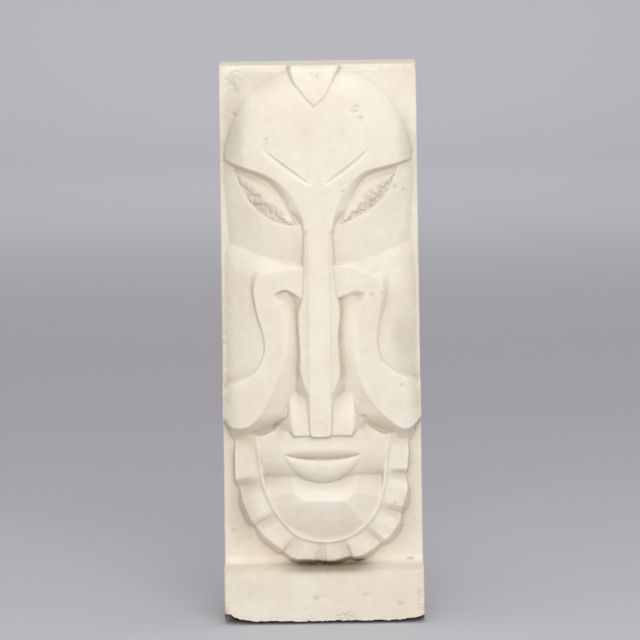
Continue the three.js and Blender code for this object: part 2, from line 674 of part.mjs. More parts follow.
/** The ridge's edges, the cheeks' crease, the lips and the chin's ridges. */
function addInnerLines(places) {
  const vector = (x, z) => new THREE.Vector2(x, z);
  for (const side of [-1, 1]) {
    const edge = NOSE.x + side * NOSE.half;
    const foot = edge + side * NOSE.stepRun;
    addLine(places, [vector(edge, 400), vector(edge, 200)]);
    addLine(places, [vector(foot, 400), vector(foot, 200)]);
    const crease = [];
    for (let x = 18; x <= 94; x += 4) crease.push(vector(side * x, creaseHeight(x)));
    addLine(places, crease);
  }
  const onChin = (side, [out, z]) => vector(CHIN.x + side * out, z);
  addLine(places, [onChin(-1, CHIN_CORNERS.ridge), onChin(1, CHIN_CORNERS.ridge)]);
  for (const side of [-1, 1]) {
    const turn = onChin(side, CHIN_CORNERS.turn);
    const ridgeEnd = onChin(side, CHIN_CORNERS.ridge);
    addLine(places, [ridgeEnd, onChin(side, CHIN_CORNERS.foot)]);
    addLine(places, [ridgeEnd, turn, onChin(side, CHIN_CORNERS.brink)]);
    addLine(places, [turn, onChin(side, CHIN_CORNERS.side)]);
  }
  const lipLines = [
    [LIPS.top, LIP_SHAPE.top], [-LIPS.line, LIP_SHAPE.line], [-LIPS.line * 1.6, LIP_SHAPE.line],
    [-LIPS.bottom, LIP_SHAPE.bottom],
  ];
  for (const [rise, power] of lipLines) {
    const lip = [];
    for (let x = -LIPS.half; x <= LIPS.half; x += 3) {
      lip.push(vector(x, LIPS.corner + rise * swell(x, LIPS.half, power)));
    }
    addLine(places, lip);
  }
  const alongBead = stepsAlong(BEAD, 1);
  for (const share of SCALLOP_ENDS.slice(1, -1)) {
    const { place, side } = alongBead[Math.round(share * (alongBead.length - 1))];
    const outward = (far) => place.clone().addScaledVector(side, -far);
    const notch = [outward(RUFF.beadHalf), outward(RUFF.waveRun)];
    addLine(places, notch, [-5.2, -2.6, 0, 2.6, 5.2]);
  }
}

/** Staggered rows over the whole front, a little uneven so that no four places share a circle. */
function addField(places) {
  const rowStep = FIELD_STEP * 0.866;
  let row = 0;
  for (let z = 12; z < BORDER.top; z += rowStep) {
    row += 1;
    for (let x = -95 + (row % 2) * (FIELD_STEP / 2); x < 96; x += FIELD_STEP) {
      const shiftX = 0.9 * Math.sin(x * 1.7 + z * 2.3);
      const shiftZ = 0.9 * Math.cos(x * 2.1 - z * 1.3);
      if (isOnFront(x + shiftX, z + shiftZ)) places.add(x + shiftX, z + shiftZ, FIELD_STEP * 0.52);
    }
  }
}

/** Delaunay triangles over a set of places, each place added in turn. */
function triangulate(places) {
  const far = 5000;
  const corners = [{ x: -far, z: -far }, { x: far, z: -far }, { x: 0, z: far * 2 }];
  const all = [...places, ...corners];
  const count = places.length;
  let triangles = [circleThrough(all, count, count + 1, count + 2)];
  for (let index = 0; index < count; index += 1) {
    const { x, z } = all[index];
    const edges = new Map();
    triangles = triangles.filter((triangle) => {
      const within = (x - triangle.x) ** 2 + (z - triangle.z) ** 2 < triangle.square;
      if (within) {
        const [a, b, c] = triangle.corners;
        for (const [from, to] of [[a, b], [b, c], [c, a]]) {
          if (!edges.delete(`${to},${from}`)) edges.set(`${from},${to}`, [from, to]);
        }
      }
      return !within;
    });
    for (const [from, to] of edges.values()) triangles.push(circleThrough(all, from, to, index));
  }
  return triangles.map((triangle) => triangle.corners).filter((corner) => corner.every((i) => i < count));
}

/** A triangle with the circle through its corners. */
function circleThrough(all, i, j, k) {
  const a = all[i];
  const b = all[j];
  const c = all[k];
  const bx = b.x - a.x;
  const bz = b.z - a.z;
  const cx = c.x - a.x;
  const cz = c.z - a.z;
  const twice = 2 * (bx * cz - bz * cx);
  const x = (cz * (bx * bx + bz * bz) - bz * (cx * cx + cz * cz)) / twice;
  const z = (bx * (cx * cx + cz * cz) - cx * (bx * bx + bz * bz)) / twice;
  return { corners: [i, j, k], x: a.x + x, z: a.z + z, square: x * x + z * z };
}

/** Keeps the triangles whose middle lies inside the border. */
function trimToBorder(places, triangles, border) {
  const outline = border.map(({ x, z }) => new THREE.Vector2(x, z));
  return triangles.filter((corners) => {
    const x = corners.reduce((sum, i) => sum + places[i].x, 0) / 3;
    const z = corners.reduce((sum, i) => sum + places[i].z, 0) / 3;
    return isInside(outline, x, z);
  });
}

/** The block as one closed surface: the carved front, the sides, the underside and the back. */
function maskGeometry() {
  const border = borderPlaces();
  const places = frontPlaces(border);
  const front = trimToBorder(places, triangulate(places), border);
  const vertices = places.map(({ x, z }) => {
    const onBlock = toBlock(x, z);
    return [onBlock.x, frontOf(relief(x, z)), onBlock.z];
  });
  const faces = front.map(([a, b, c]) => [a, b, c]);
  const back = BLOCK_DEPTH / 2;
  const rings = [border.map((_, i) => i)];
  const ringOf = (make) => {
    const start = vertices.length;
    border.forEach((place, i) => vertices.push(make(place, vertices[i])));
    rings.push(border.map((_, i) => start + i));
  };
  ringOf((place, from) => outerPlace(place, from, from[1] + EDGE_WEAR));
  ringOf((place, from) => outerPlace(place, from, back - EDGE_WEAR));
  ringOf((place, from) => [from[0], back, Math.max(from[2], FOOT_WEAR)]);
  const count = border.length;
  for (let r = 1; r < rings.length; r += 1) {
    for (let i = 0; i < count; i += 1) {
      const j = (i + 1) % count;
      faces.push([rings[r - 1][i], rings[r][i], rings[r][j]]);
      faces.push([rings[r - 1][i], rings[r][j], rings[r - 1][j]]);
    }
  }
  const backOutline = rings[3].map((i) => new THREE.Vector2(vertices[i][0], vertices[i][2]));
  for (const [a, b, c] of THREE.ShapeUtils.triangulateShape(backOutline, [])) {
    faces.push([rings[3][a], rings[3][c], rings[3][b]]);
  }
  return closedGeometry(vertices, faces);
}

/** A place on the block's side, top or underside, straight out from a place on the border. */
function outerPlace(place, from, y) {
  const [outX, outZ] = place.out;
  const half = blockHalfWidth(from[2]);
  const z = outZ < 0 ? 0 : outZ > 0 ? Math.min(BLOCK_HEIGHT, from[2] + EDGE_WEAR * outZ) : from[2];
  const x = outX === 0 ? from[0] : Math.sign(outX) * Math.min(half, Math.abs(from[0]) + EDGE_WEAR);
  return [x, y, z];
}

function closedGeometry(vertices, faces) {
  const geometry = new THREE.BufferGeometry();
  geometry.setAttribute('position', new THREE.Float32BufferAttribute(vertices.flat(), 3));
  geometry.setIndex(faces.flat());
  geometry.computeVertexNormals();
  return geometry;
}

const stone = new THREE.MeshStandardMaterial({ color: SANDSTONE, roughness: 0.9, metalness: 0 });
const mask = new THREE.Mesh(maskGeometry(), stone);
mask.name = 'mask_stone';

const sculpture = new THREE.Group();
sculpture.add(mask);

export default sculpture;
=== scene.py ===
"""A tall sandstone block with a stylised mask carved on its front, on a plain studio sweep.

The block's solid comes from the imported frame. The carving is drawn as a relief: a height over
the block's background plane for every place on the front, in the drawing's own millimetres
(x sideways from the middle, z up from the underside). The stone follows it with a fine mesh.
"""

import logging
import math
from collections.abc import Callable, Sequence
from dataclasses import dataclass, field
from enum import Enum

import bpy
import numpy as np
from mathutils import Matrix, Vector

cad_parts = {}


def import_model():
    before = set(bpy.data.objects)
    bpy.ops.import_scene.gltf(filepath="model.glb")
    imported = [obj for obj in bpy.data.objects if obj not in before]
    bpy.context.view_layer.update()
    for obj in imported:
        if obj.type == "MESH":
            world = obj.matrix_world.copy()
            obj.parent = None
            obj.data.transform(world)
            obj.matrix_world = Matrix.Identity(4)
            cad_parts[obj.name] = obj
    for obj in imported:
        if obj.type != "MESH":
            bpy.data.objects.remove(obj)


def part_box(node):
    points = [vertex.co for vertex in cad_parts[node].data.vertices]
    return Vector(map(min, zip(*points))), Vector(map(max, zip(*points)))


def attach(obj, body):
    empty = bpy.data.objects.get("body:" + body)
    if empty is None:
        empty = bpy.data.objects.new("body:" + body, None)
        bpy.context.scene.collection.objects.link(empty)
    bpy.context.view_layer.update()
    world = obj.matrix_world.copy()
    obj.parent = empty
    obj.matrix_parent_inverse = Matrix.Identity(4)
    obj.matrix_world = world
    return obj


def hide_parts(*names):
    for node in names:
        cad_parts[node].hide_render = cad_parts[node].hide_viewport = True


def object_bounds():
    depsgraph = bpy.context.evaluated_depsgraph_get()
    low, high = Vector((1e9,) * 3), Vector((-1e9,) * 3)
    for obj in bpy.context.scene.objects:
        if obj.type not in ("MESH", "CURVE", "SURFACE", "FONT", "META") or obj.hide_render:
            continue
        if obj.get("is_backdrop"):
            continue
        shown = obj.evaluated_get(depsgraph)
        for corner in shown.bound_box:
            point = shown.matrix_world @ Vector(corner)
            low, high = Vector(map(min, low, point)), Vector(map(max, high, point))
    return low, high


log = logging.getLogger("mask_sculpture")

Array = np.ndarray
Outline = Sequence[tuple[float, float]]
Surface = Callable[[Array, Array], Array]

MILLIMETRE = 0.001
NODE = "mask_stone"
BODY = "root"
NOWHERE = -999.0
SOFT_EDGE = 1.3


class Side(Enum):
    """The two sides of the mask, as the viewer sees them."""

    LEFT = -1
    RIGHT = 1


def ease(value: Array | float) -> Array:
    """A share from 0 to 1 that starts and ends gently."""
    share = np.clip(value, 0.0, 1.0)
    return share * share * (3.0 - 2.0 * share)


def ramp(value: Array | float, start: float, run: float) -> Array:
    """A share that eases from 0 to 1 over a run from a start."""
    return ease((value - start) / run)


def mix(low: Array | float, high: Array | float, share: Array | float) -> Array:
    """The value that lies a share of the way from one value to another."""
    return low + (high - low) * share


def swell(position: Array, half_span: float, power: float) -> Array:
    """A share that swells from nothing at both ends of a span to one in its middle."""
    return (1.0 - np.minimum(1.0, np.abs(position / half_span)) ** 2) ** power


def smooth_line(places: Outline, steps_each: int = 5) -> Array:
    """A smooth line through given places.

    Args:
        places: The places that the line passes through.
        steps_each: Straight steps between one place and the next.

    Returns:
        The line's points, one to a row.
    """
    points = np.asarray(places, dtype=float)
    last = len(points) - 1
    made = []
    for step in range(last * steps_each + 1):
        start = min(step // steps_each, last)
        t = step / steps_each - start
        before, here = points[max(start - 1, 0)], points[start]
        after, beyond = points[min(start + 1, last)], points[min(start + 2, last)]
        leave, arrive = (after - before) / 2, (beyond - here) / 2
        cubic = (2 * here - 2 * after + leave + arrive) * t**3
        square = (-3 * here + 3 * after - 2 * leave - arrive) * t**2
        made.append(cubic + square + leave * t + here)
    return np.array(made)


def nearest(line: Array, x: Array, z: Array) -> tuple[Array, Array]:
    """How far places are from a line, and where along it they are nearest.

    Args:
        line: The line's points.
        x: The places' sideways positions.
        z: The places' heights.

    Returns:
        The distances, and the shares of the line's length.
    """
    best = np.full(np.shape(x), np.inf)
    along = np.zeros(np.shape(x))
    walked = 0.0
    for (ax, az), (bx, bz) in zip(line[:-1], line[1:]):
        run, rise = bx - ax, bz - az
        length = math.hypot(run, rise)
        if length < 1e-9:
            continue
        share = np.clip(((x - ax) * run + (z - az) * rise) / length**2, 0.0, 1.0)
        distance = np.hypot(x - ax - run * share, z - az - rise * share)
        closer = distance < best
        best = np.where(closer, distance, best)
        along = np.where(closer, walked + length * share, along)
        walked += length
    return best, along / walked


def is_inside(outline: Array, x: Array, z: Array) -> Array:
    """Whether places are inside a closed outline."""
    inside = np.zeros(np.shape(x), dtype=bool)
    ends = np.roll(outline, 1, axis=0)
    for (ax, az), (bx, bz) in zip(outline, ends):
        if az == bz:
            continue
        crosses = ((az > z) != (bz > z)) & (x < (bx - ax) * (z - az) / (bz - az) + ax)
        inside ^= crosses
    return inside


def depth_inside(outline: Array, x: Array, z: Array) -> Array:
    """Distance inside a closed outline, and below zero outside it."""
    distance, _ = nearest(np.vstack([outline, outline[:1]]), x, z)
    return np.where(is_inside(outline, x, z), distance, -distance)


def ends_taper(share: Array) -> Array:
    """A share that runs out at both ends of a cut line."""
    return np.sin(math.pi * np.clip(share, 0.01, 0.99)) ** 0.5


def wall_drop(outside: Array, slope: Array | float, rounding: float) -> Array:
    """How far a wall has fallen at a distance outside its rounded edge."""
    curved = slope * (outside + rounding) ** 2 / (4.0 * rounding)
    fallen = np.where(outside >= rounding, slope * outside, curved)
    return np.where(outside <= -rounding, 0.0, fallen)


@dataclass(frozen=True)
class Form:
    """A raised form of the relief: a face inside an outline, with walls that fall outside it."""

    outline: Array
    face: Surface
    slope: Surface | float
    rounding: float
    reach: float = 24.0

    def height(self, x: Array, z: Array) -> Array:
        """Height of the form and its walls, far below everything where they don't reach."""
        made = np.full(x.shape, NOWHERE)
        low, high = self.outline.min(axis=0) - self.reach, self.outline.max(axis=0) + self.reach
        near = (x > low[0]) & (x < high[0]) & (z > low[1]) & (z < high[1])
        px, pz = x[near], z[near]
        slope = self.slope(px, pz) if callable(self.slope) else self.slope
        outside = -depth_inside(self.outline, px, pz)
        made[near] = self.face(px, pz) - wall_drop(outside, slope, self.rounding)
        return made


class Grain:
    """Seeded unevenness in space, the same every run."""

    def __init__(self, seed: int, cell: float) -> None:
        """Sets the pattern's seed and the size of its cells in millimetres."""
        self.cell = cell
        self.table = np.random.default_rng(seed).uniform(-1.0, 1.0, (128, 128))

    def at(self, x: Array, z: Array) -> Array:
        """Unevenness from -1 to 1 at places."""
        column, row = x / self.cell + 64.0, z / self.cell + 64.0
        i, j = np.floor(column).astype(int), np.floor(row).astype(int)
        across, up = ease(column - i), ease(row - j)
        corner = lambda a, b: self.table[(j + b) % 128, (i + a) % 128]
        low = mix(corner(0, 0), corner(1, 0), across)
        high = mix(corner(0, 1), corner(1, 1), across)
        return mix(low, high, up)


@dataclass
class Forehead:
    """The shallow cap over the eyes, its brows, two incised strokes and a flat wedge on top."""

    middle: tuple[float, float] = (-1.0, 469.0)
    half_width: float = 95.0
    rise: float = 95.0
    rim: float = 9.0
    swelling: float = 21.0
    flatness: float = 5.6
    arris: float = 0.6
    brow_soft: float = 0.62
    brow_steep: float = 3.0
    brow_turn: tuple[float, float] = (28.0, 42.0)
    brow_at_nose: float = 1.4
    brow_nose_level: tuple[float, float] = (420.0, 18.0)
    corner_level: float = 4.0
    corner_hollow: float = 5.0
    corner_run: float = 12.0
    corner_start: tuple[float, float] = (460.0, 40.0)
    stroke_depth: float = 2.9
    stroke_above: float = 1.3
    stroke_below: float = 4.2
    wedge_high: float = 30.0
    wedge_low: float = 20.0
    wedge_lean: float = 1.5
    wedge_slope: float = 3.5
    wedge_arris: float = 0.5
    wedge_beyond: float = 20.0
    wedge_tip: tuple[float, float] = (-4.5, 521.5)
    wedge_top: float = 563.0
    wedge_groove: float = 1.7
    wedge_groove_half: float = 2.0
    wedge_sides: Array = field(
        default_factory=lambda: np.vstack([
            smooth_line([(-27.5, 563), (-26.3, 550), (-19.5, 539), (-11.5, 529), (-4.5, 521.5)]),
            smooth_line([
                (-4.5, 521.5), (2.5, 527.5), (7.5, 532), (12.7, 541), (16.7, 551), (20.5, 563),
            ]),
        ])
    )
    brows: dict[Side, Array] = field(
        default_factory=lambda: {
            Side.LEFT: smooth_line([
                (-96, 469), (-74, 461.5), (-49, 452), (-29, 435), (-18, 413), (-15, 397),
            ]),
            Side.RIGHT: smooth_line([
                (94, 468), (70, 462.5), (45, 456), (28, 440.5), (17, 420), (12, 397),
            ]),
        }
    )
    strokes: tuple[Array, ...] = field(
        default_factory=lambda: (
            smooth_line([(-55, 479), (-33, 462), (-10, 445)]),
            smooth_line([(49, 478), (32, 463.5), (8, 446)]),
        )
    )

    def face(self, x: Array, z: Array) -> Array:
        """Height of the cap."""
        up = np.maximum(0.0, (z - self.middle[1]) / self.rise)
        radius = np.minimum(1.0, np.hypot((x - self.middle[0]) / self.half_width, up))
        return self.rim + self.swelling * (1.0 - radius**self.flatness)

    def forms(self) -> list[Form]:
        """The cap with its brows, and the wedge."""
        angle = np.linspace(0.0, math.pi, 41)[1:-1]
        arc = np.column_stack([
            self.middle[0] + self.half_width * np.cos(angle),
            self.middle[1] + self.rise * np.sin(angle),
        ])
        cap = np.vstack([arc, self.brows[Side.LEFT], self.brows[Side.RIGHT][::-1]])
        above = self.wedge_top + self.wedge_beyond
        ends = [(self.wedge_sides[-1, 0], above), (self.wedge_sides[0, 0], above)]
        wedge = np.vstack([self.wedge_sides, ends])
        return [
            Form(cap, self.face, self.brow_slope, self.arris),
            Form(wedge, self.wedge_face, self.wedge_slope, self.wedge_arris),
        ]

    def brow_slope(self, x: Array, z: Array) -> Array:
        """The brows' walls are softest over the inner halves of the eyes."""
        outward = ramp(np.abs(x), *self.brow_turn)
        at_nose = self.brow_at_nose * ease((self.brow_nose_level[0] - z) / self.brow_nose_level[1])
        return mix(self.brow_soft, self.brow_steep, outward) + at_nose

    def wedge_face(self, x: Array, z: Array) -> Array:
        """Height of the wedge, which leans back to the block's top."""
        up = np.clip((z - self.wedge_tip[1]) / (self.wedge_top - self.wedge_tip[1]), 0.0, 1.0)
        return mix(self.wedge_high, self.wedge_low, up**self.wedge_lean)

    def spandrel(self, x: Array, z: Array) -> Array:
        """Height of the corners above the cap, hollowed up to its rim."""
        away = np.maximum(0.0, np.hypot(x - self.middle[0], z - self.middle[1]) - self.half_width)
        height = self.corner_level + self.corner_hollow * np.exp(-away / self.corner_run)
        return height * ramp(z, *self.corner_start)

    def cut(self, x: Array, z: Array) -> Array:
        """Depth of the strokes and of the wedge's groove."""
        side, _ = nearest(self.wedge_sides, x, z)
        cut = self.wedge_groove * (1.0 - side / self.wedge_groove_half)
        for line in self.strokes:
            distance, share = nearest(line, x, z)
            taper = ends_taper(share)
            width = np.where(z > self.stroke_level(line, x), self.stroke_above, self.stroke_below) * taper
            cut = np.maximum(cut, self.stroke_depth * taper * (1.0 - distance / width))
        return np.maximum(0.0, cut)

    def stroke_level(self, line: Array, x: Array) -> Array:
        """Level of a stroke at sideways positions."""
        order = np.argsort(line[:, 0])
        return np.interp(x, line[order, 0], line[order, 1])


@dataclass
class Cheeks:
    """A barrel across the block, folded along a crease below the eyes."""

    height: float = 27.5
    fall: float = 27.0
    curve: float = 2.6
    span: float = 98.0
    fold: float = 5.5
    fold_loss: float = 0.2
    tilt: float = 0.07
    ramp: float = 11.0
    crease_middle: float = 356.0
    crease_rise: float = 0.24
    crease_bend: float = 0.0008
    top: float = 470.0
    top_run: float = 4.0
    foot: float = 200.0
    foot_run: float = 40.0

    def crease(self, x: Array) -> Array:
        """Level of the crease across the mask."""
        return self.crease_middle + self.crease_rise * np.abs(x) + self.crease_bend * x * x

    def surface(self, x: Array, z: Array) -> Array:
        """Height of the cheeks."""
        out = np.abs(x) / self.span
        barrel = self.height - self.fall * out**self.curve
        fold = self.fold * (1.0 - self.fold_loss * out)
        over = z - self.crease(x)
        below = barrel - fold * np.exp(np.minimum(over, 0.0) / self.ramp)
        folded = np.where(over > 0.0, barrel - fold + np.minimum(fold, over * self.tilt), below)
        return folded * ease((z - self.foot) / self.foot_run) * ease((self.top - z) / self.top_run)


@dataclass
class Eyes:
    """A ball in each socket, between the brow's wall and the lower lid."""

    forehead: Forehead
    cheeks: Cheeks
    depth: float = 4.5
    ball: float = 4.6
    wall_run: float = 8.5
    ball_lean: float = 0.85
    rim_slope: float = 1.5
    picked_from: tuple[float, float] = (0.36, 0.2)
    picked_rim: tuple[float, float] = (1.6, 1.5)
    picked: float = 2.8
    lids: dict[Side, Array] = field(
        default_factory=lambda: {
            Side.LEFT: smooth_line([(-88, 463), (-83, 448), (-71, 425), (-51, 408), (-33, 402), (-17, 402)]),
            Side.RIGHT: smooth_line([(81, 463), (77, 448), (66, 429), (46, 413), (30, 405.5), (15, 402)]),
        }
    )

    def socket(self, side: Side) -> Array:
        """The outline of a socket, up to the brow's edge."""
        return np.vstack([self.lids[side], self.forehead.brows[side][::-1]])

    def shares(self, side: Side, x: Array, z: Array) -> tuple[Array, Array]:
        """The share of the way from the brow's wall to the lid, and the distance to the lid."""
        to_lid, _ = nearest(self.lids[side], x, z)
        to_brow, _ = nearest(self.forehead.brows[side], x, z)
        to_wall = np.maximum(0.0, to_brow - self.wall_run)
        return to_wall / (to_wall + to_lid + 1e-6), to_lid

    def surface(self, side: Side, x: Array, z: Array) -> Array:
        """Height of the ball and of the lid's inner bevel."""
        share, to_lid = self.shares(side, x, z)
        cheek = self.cheeks.surface(x, z)
        ball = cheek - self.depth + self.ball * np.sin(math.pi * share**self.ball_lean)
        return np.maximum(ball, cheek - self.rim_slope * to_lid)

    def picking(self, side: Side, x: Array, z: Array) -> Array:
        """How strongly the lower half of a ball is picked with the point, from 0 to 1."""
        share, to_lid = self.shares(side, x, z)
        within = is_inside(self.socket(side), x, z)
        return within * ramp(share, *self.picked_from) * ramp(to_lid, *self.picked_rim)


@dataclass
class Nose:
    """A flat ridge with flanks, and a wing on either side of its end."""

    middle: float = -1.5
    half: float = 10.3
    top: float = 404.0
    bottom: float = 190.5
    high: float = 30.0
    tip: float = 39.5
    step: float = 1.6
    step_run: float = 1.8
    flank_tilt: float = 0.3
    wing_foot: float = 35.0
    wing_lean_in: float = 5.0
    wing_lean_out: float = 20.0
    wing_lean_run: float = 16.0
    fold_depth: float = 4.2
    fold_width: float = 1.8
    folds: tuple[Outline, ...] = (
        ((-34, 221), (-36.5, 209), (-41, 204), (-50, 196)),
        ((33, 226), (35.5, 214), (38.5, 208.5), (44, 208)),
    )
    wing_tall: float = 48.0
    wing_power: float = 2.0
    wing_rounding: float = 2.0
    wing_wall: float = 1.5
    arris: float = 0.5
    wall_top: float = 1.6
    wall_middle: float = 3.2
    wall_gentle: float = 1.2
    wall_end: float = 4.0
    top_from: tuple[float, float] = (325.0, 25.0)
    end_from: float = 225.0
    gentle_top: float = 258.0
    gentle_run: float = 18.0
    gentle_from: tuple[float, float] = (194.0, 5.0)
    wing_gentle_from: tuple[float, float] = (190.0, 6.0)
    wings: tuple[Outline, ...] = (
        (
            (-11, 190.5), (-26, 190.5), (-28, 191), (-29.3, 194), (-31, 208), (-31.5, 222),
            (-28, 236), (-19, 244), (-11, 242),
        ),
        (
            (9, 190.5), (27.5, 190.5), (29.5, 191), (30.5, 194), (32, 208), (32.5, 222),
            (29, 236), (20, 244), (9, 242),
        ),
    )

    def face(self, x: Array, z: Array) -> Array:
        """Height of the ridge and its flanks."""
        down = np.clip((self.top - z) / (self.top - self.bottom), 0.0, 1.0)
        across = np.maximum(0.0, np.abs(x - self.middle) - self.half)
        step = self.step * np.clip(across / self.step_run, 0.0, 1.0)
        flank = self.flank_tilt * np.maximum(0.0, across - self.step_run)
        return mix(self.high, self.tip, down) - step - flank

    def wing_face(self, x: Array, z: Array) -> Array:
        """Height of the wings, which lean back as they rise."""
        up = np.clip((z - self.bottom) / self.wing_tall, 0.0, 1.2)
        out = (np.abs(x - self.middle) - self.half) / self.wing_lean_run
        lean = mix(self.wing_lean_in, self.wing_lean_out, ease(out))
        return self.wing_foot - lean * up**self.wing_power

    def forms(self) -> list[Form]:
        """The ridge and the two wings."""
        left = smooth_line([
            (-14.5, 408), (-15.5, 362), (-17, 333), (-22, 312), (-20.5, 275), (-20.5, 254), (-13, 232),
        ])
        right = smooth_line([
            (11.5, 408), (12.5, 362), (16, 333), (19, 316), (16.5, 290), (18, 262), (17, 248), (10, 232),
        ])
        end = smooth_line([
            (-12.5, 222), (-12, 202), (-11.2, 193), (-8.5, 190.8),
            (5.5, 190.8), (8.2, 193), (9, 202), (9.5, 222),
        ])
        outline = np.vstack([left, end, right[::-1]])
        made = [Form(outline, self.face, self.wall_slope, self.arris)]
        for wing in self.wings:
            made.append(Form(smooth_line(wing), self.wing_face, self.wing_slope, self.wing_rounding))
        return made

    def wall_slope(self, x: Array, z: Array) -> Array:
        """The ridge's walls: steep beside the eyes and at the end, and gentle over the wings."""
        upper = mix(self.wall_middle, self.wall_top, ramp(z, *self.top_from))
        steep = np.where(z > self.end_from, upper, self.wall_end)
        gentle = ease((self.gentle_top - z) / self.gentle_run) * ramp(z, *self.gentle_from)
        return mix(steep, self.wall_gentle, gentle)

    def wing_slope(self, x: Array, z: Array) -> Array:
        """The wings' walls, steep at their lower end alone."""
        return mix(self.wall_end, self.wing_wall, ramp(z, *self.wing_gentle_from))

    def cut(self, x: Array, z: Array) -> Array:
        """Depth of the crisp folds outside the wings."""
        made = np.zeros(x.shape)
        for fold in self.folds:
            distance, share = nearest(smooth_line(fold), x, z)
            beside = np.maximum(0.0, 1.0 - distance / self.fold_width)
            made = np.maximum(made, self.fold_depth * ends_taper(share) * beside)
        return made


@dataclass
class Scrolls:
    """On each side an arm from the nose, a band down the cheek and a round lobe at its end."""

    height: float = 28.5
    fall: float = 8.5
    shoulder: float = 80.0
    shoulder_turn: float = 0.022
    soft_slope: float = 1.0
    steep_slope: float = 3.0
    furrow_depth: float = 7.8
    furrow_width: float = 3.6
    furrow_widening: float = 3.6
    hollow_depth: float = 4.0
    hollow_fall: float = 4.5
    hollow_drop: float = 14.0
    hollow_run: float = 9.0
    hollow_top: float = 305.0
    hollow_foot: float = 214.0
    arris: float = 0.7
    face_curve: float = 1.2
    furrow_start: float = 0.08
    furrow_end: float = 0.12
    furrow_loss: float = 0.65
    within_top: float = 341.0
    within_half: float = 46.0
    within_level: float = 275.0
    within_spread: float = 0.6
    soften_from: tuple[float, float] = (12.0, 16.0)
    hollow_fall_run: float = 90.0
    hollow_drop_run: float = 24.0
    face_half: float = 98.0

    def __post_init__(self) -> None:
        """Draws the two scrolls' outlines and the furrows beside the nose."""
        left = smooth_line([
            (-14, 361), (-42, 358), (-61, 352.5), (-67, 338), (-64, 315), (-57.5, 291), (-57.5, 272),
            (-67, 254), (-82, 244.5), (-99, 236), (-106, 219), (-96, 201), (-79, 198), (-66, 206.5),
            (-54, 224.5), (-44, 247.5), (-36, 270), (-32.5, 294), (-37, 314), (-47, 331), (-37, 338.5),
            (-26, 334), (-14, 323),
        ])
        right = smooth_line([
            (12, 362), (34, 360), (50, 352), (61, 348), (62, 330), (57, 303), (56.5, 282), (61, 265),
            (72, 254), (84, 247), (99, 240), (106, 221), (97, 202), (82, 195.5), (66, 206.5), (48, 227),
            (38, 250), (34, 275), (33.5, 297), (39, 318), (46, 332), (34, 336.5), (12, 327),
        ])
        self.outlines = {Side.LEFT: left, Side.RIGHT: right}
        self.furrows = {
            Side.LEFT: smooth_line([
                (-47, 331), (-37, 337.5), (-30, 333), (-24.5, 312), (-21.5, 275), (-24.5, 240),
            ]),
            Side.RIGHT: smooth_line([(46, 332), (34, 335.5), (22, 330), (18.5, 305), (18, 272), (24, 238)]),
        }

    def forms(self) -> list[Form]:
        """The two scrolls."""
        soft = {Side.LEFT: (325.0, 35.0), Side.RIGHT: (262.0, 40.0)}
        made = []
        for side, (level, run) in soft.items():
            made.append(Form(self.outlines[side], self.face, self.slope_from(level, run), self.arris))
        return made

    def face(self, x: Array, z: Array) -> Array:
        """Height of the scrolls' faces, which turn back at the block's sides."""
        out = np.abs(x)
        turned = self.shoulder_turn * np.maximum(0.0, out - self.shoulder) ** 2
        return self.height - self.fall * (out / self.face_half) ** self.face_curve - turned

    def slope_from(self, level: float, run: float) -> Surface:
        """The walls' slope, which softens above a level, away from the nose."""
        def slope(x: Array, z: Array) -> Array:
            """The slope at a place."""
            away = ramp(np.abs(x), *self.soften_from)
            return mix(self.steep_slope, self.soft_slope, away * ramp(z, level, run))

        return slope

    def hollow(self, x: Array, z: Array) -> Array:
        """Height of the hollow between the scrolls and the nose, with the furrow along the nose."""
        deep = self.hollow_depth + self.hollow_fall * ease((self.hollow_top - z) / self.hollow_fall_run)
        deep = deep + self.hollow_drop * ease((self.hollow_foot - z) / self.hollow_drop_run)
        made = self.face(x, z)
        for side, within in ((Side.LEFT, x < 0), (Side.RIGHT, x >= 0)):
            px, pz = x[within], z[within]
            outside = np.maximum(0.0, -depth_inside(self.outlines[side], px, pz))
            distance, along = nearest(self.furrows[side], px, pz)
            ends = ease(along / self.furrow_start) * ease((1.0 - along) / self.furrow_end)
            cut = self.furrow_depth * (1.0 - self.furrow_loss * along) * ends
            width = self.furrow_width + self.furrow_widening * (1.0 - along)
            made[within] -= deep[within] * (1.0 - np.exp(-outside / self.hollow_run))
            made[within] -= cut * np.exp(-distance / width)
        return made

    def within(self, x: Array, z: Array) -> Array:
        """Whether places lie on the nose's side of the scrolls."""
        spread = self.within_spread * np.maximum(0.0, self.within_level - z)
        made = (z < self.within_top) & (np.abs(x) < self.within_half + spread)
        for outline in self.outlines.values():
            made &= ~is_inside(outline, x, z)
        return made


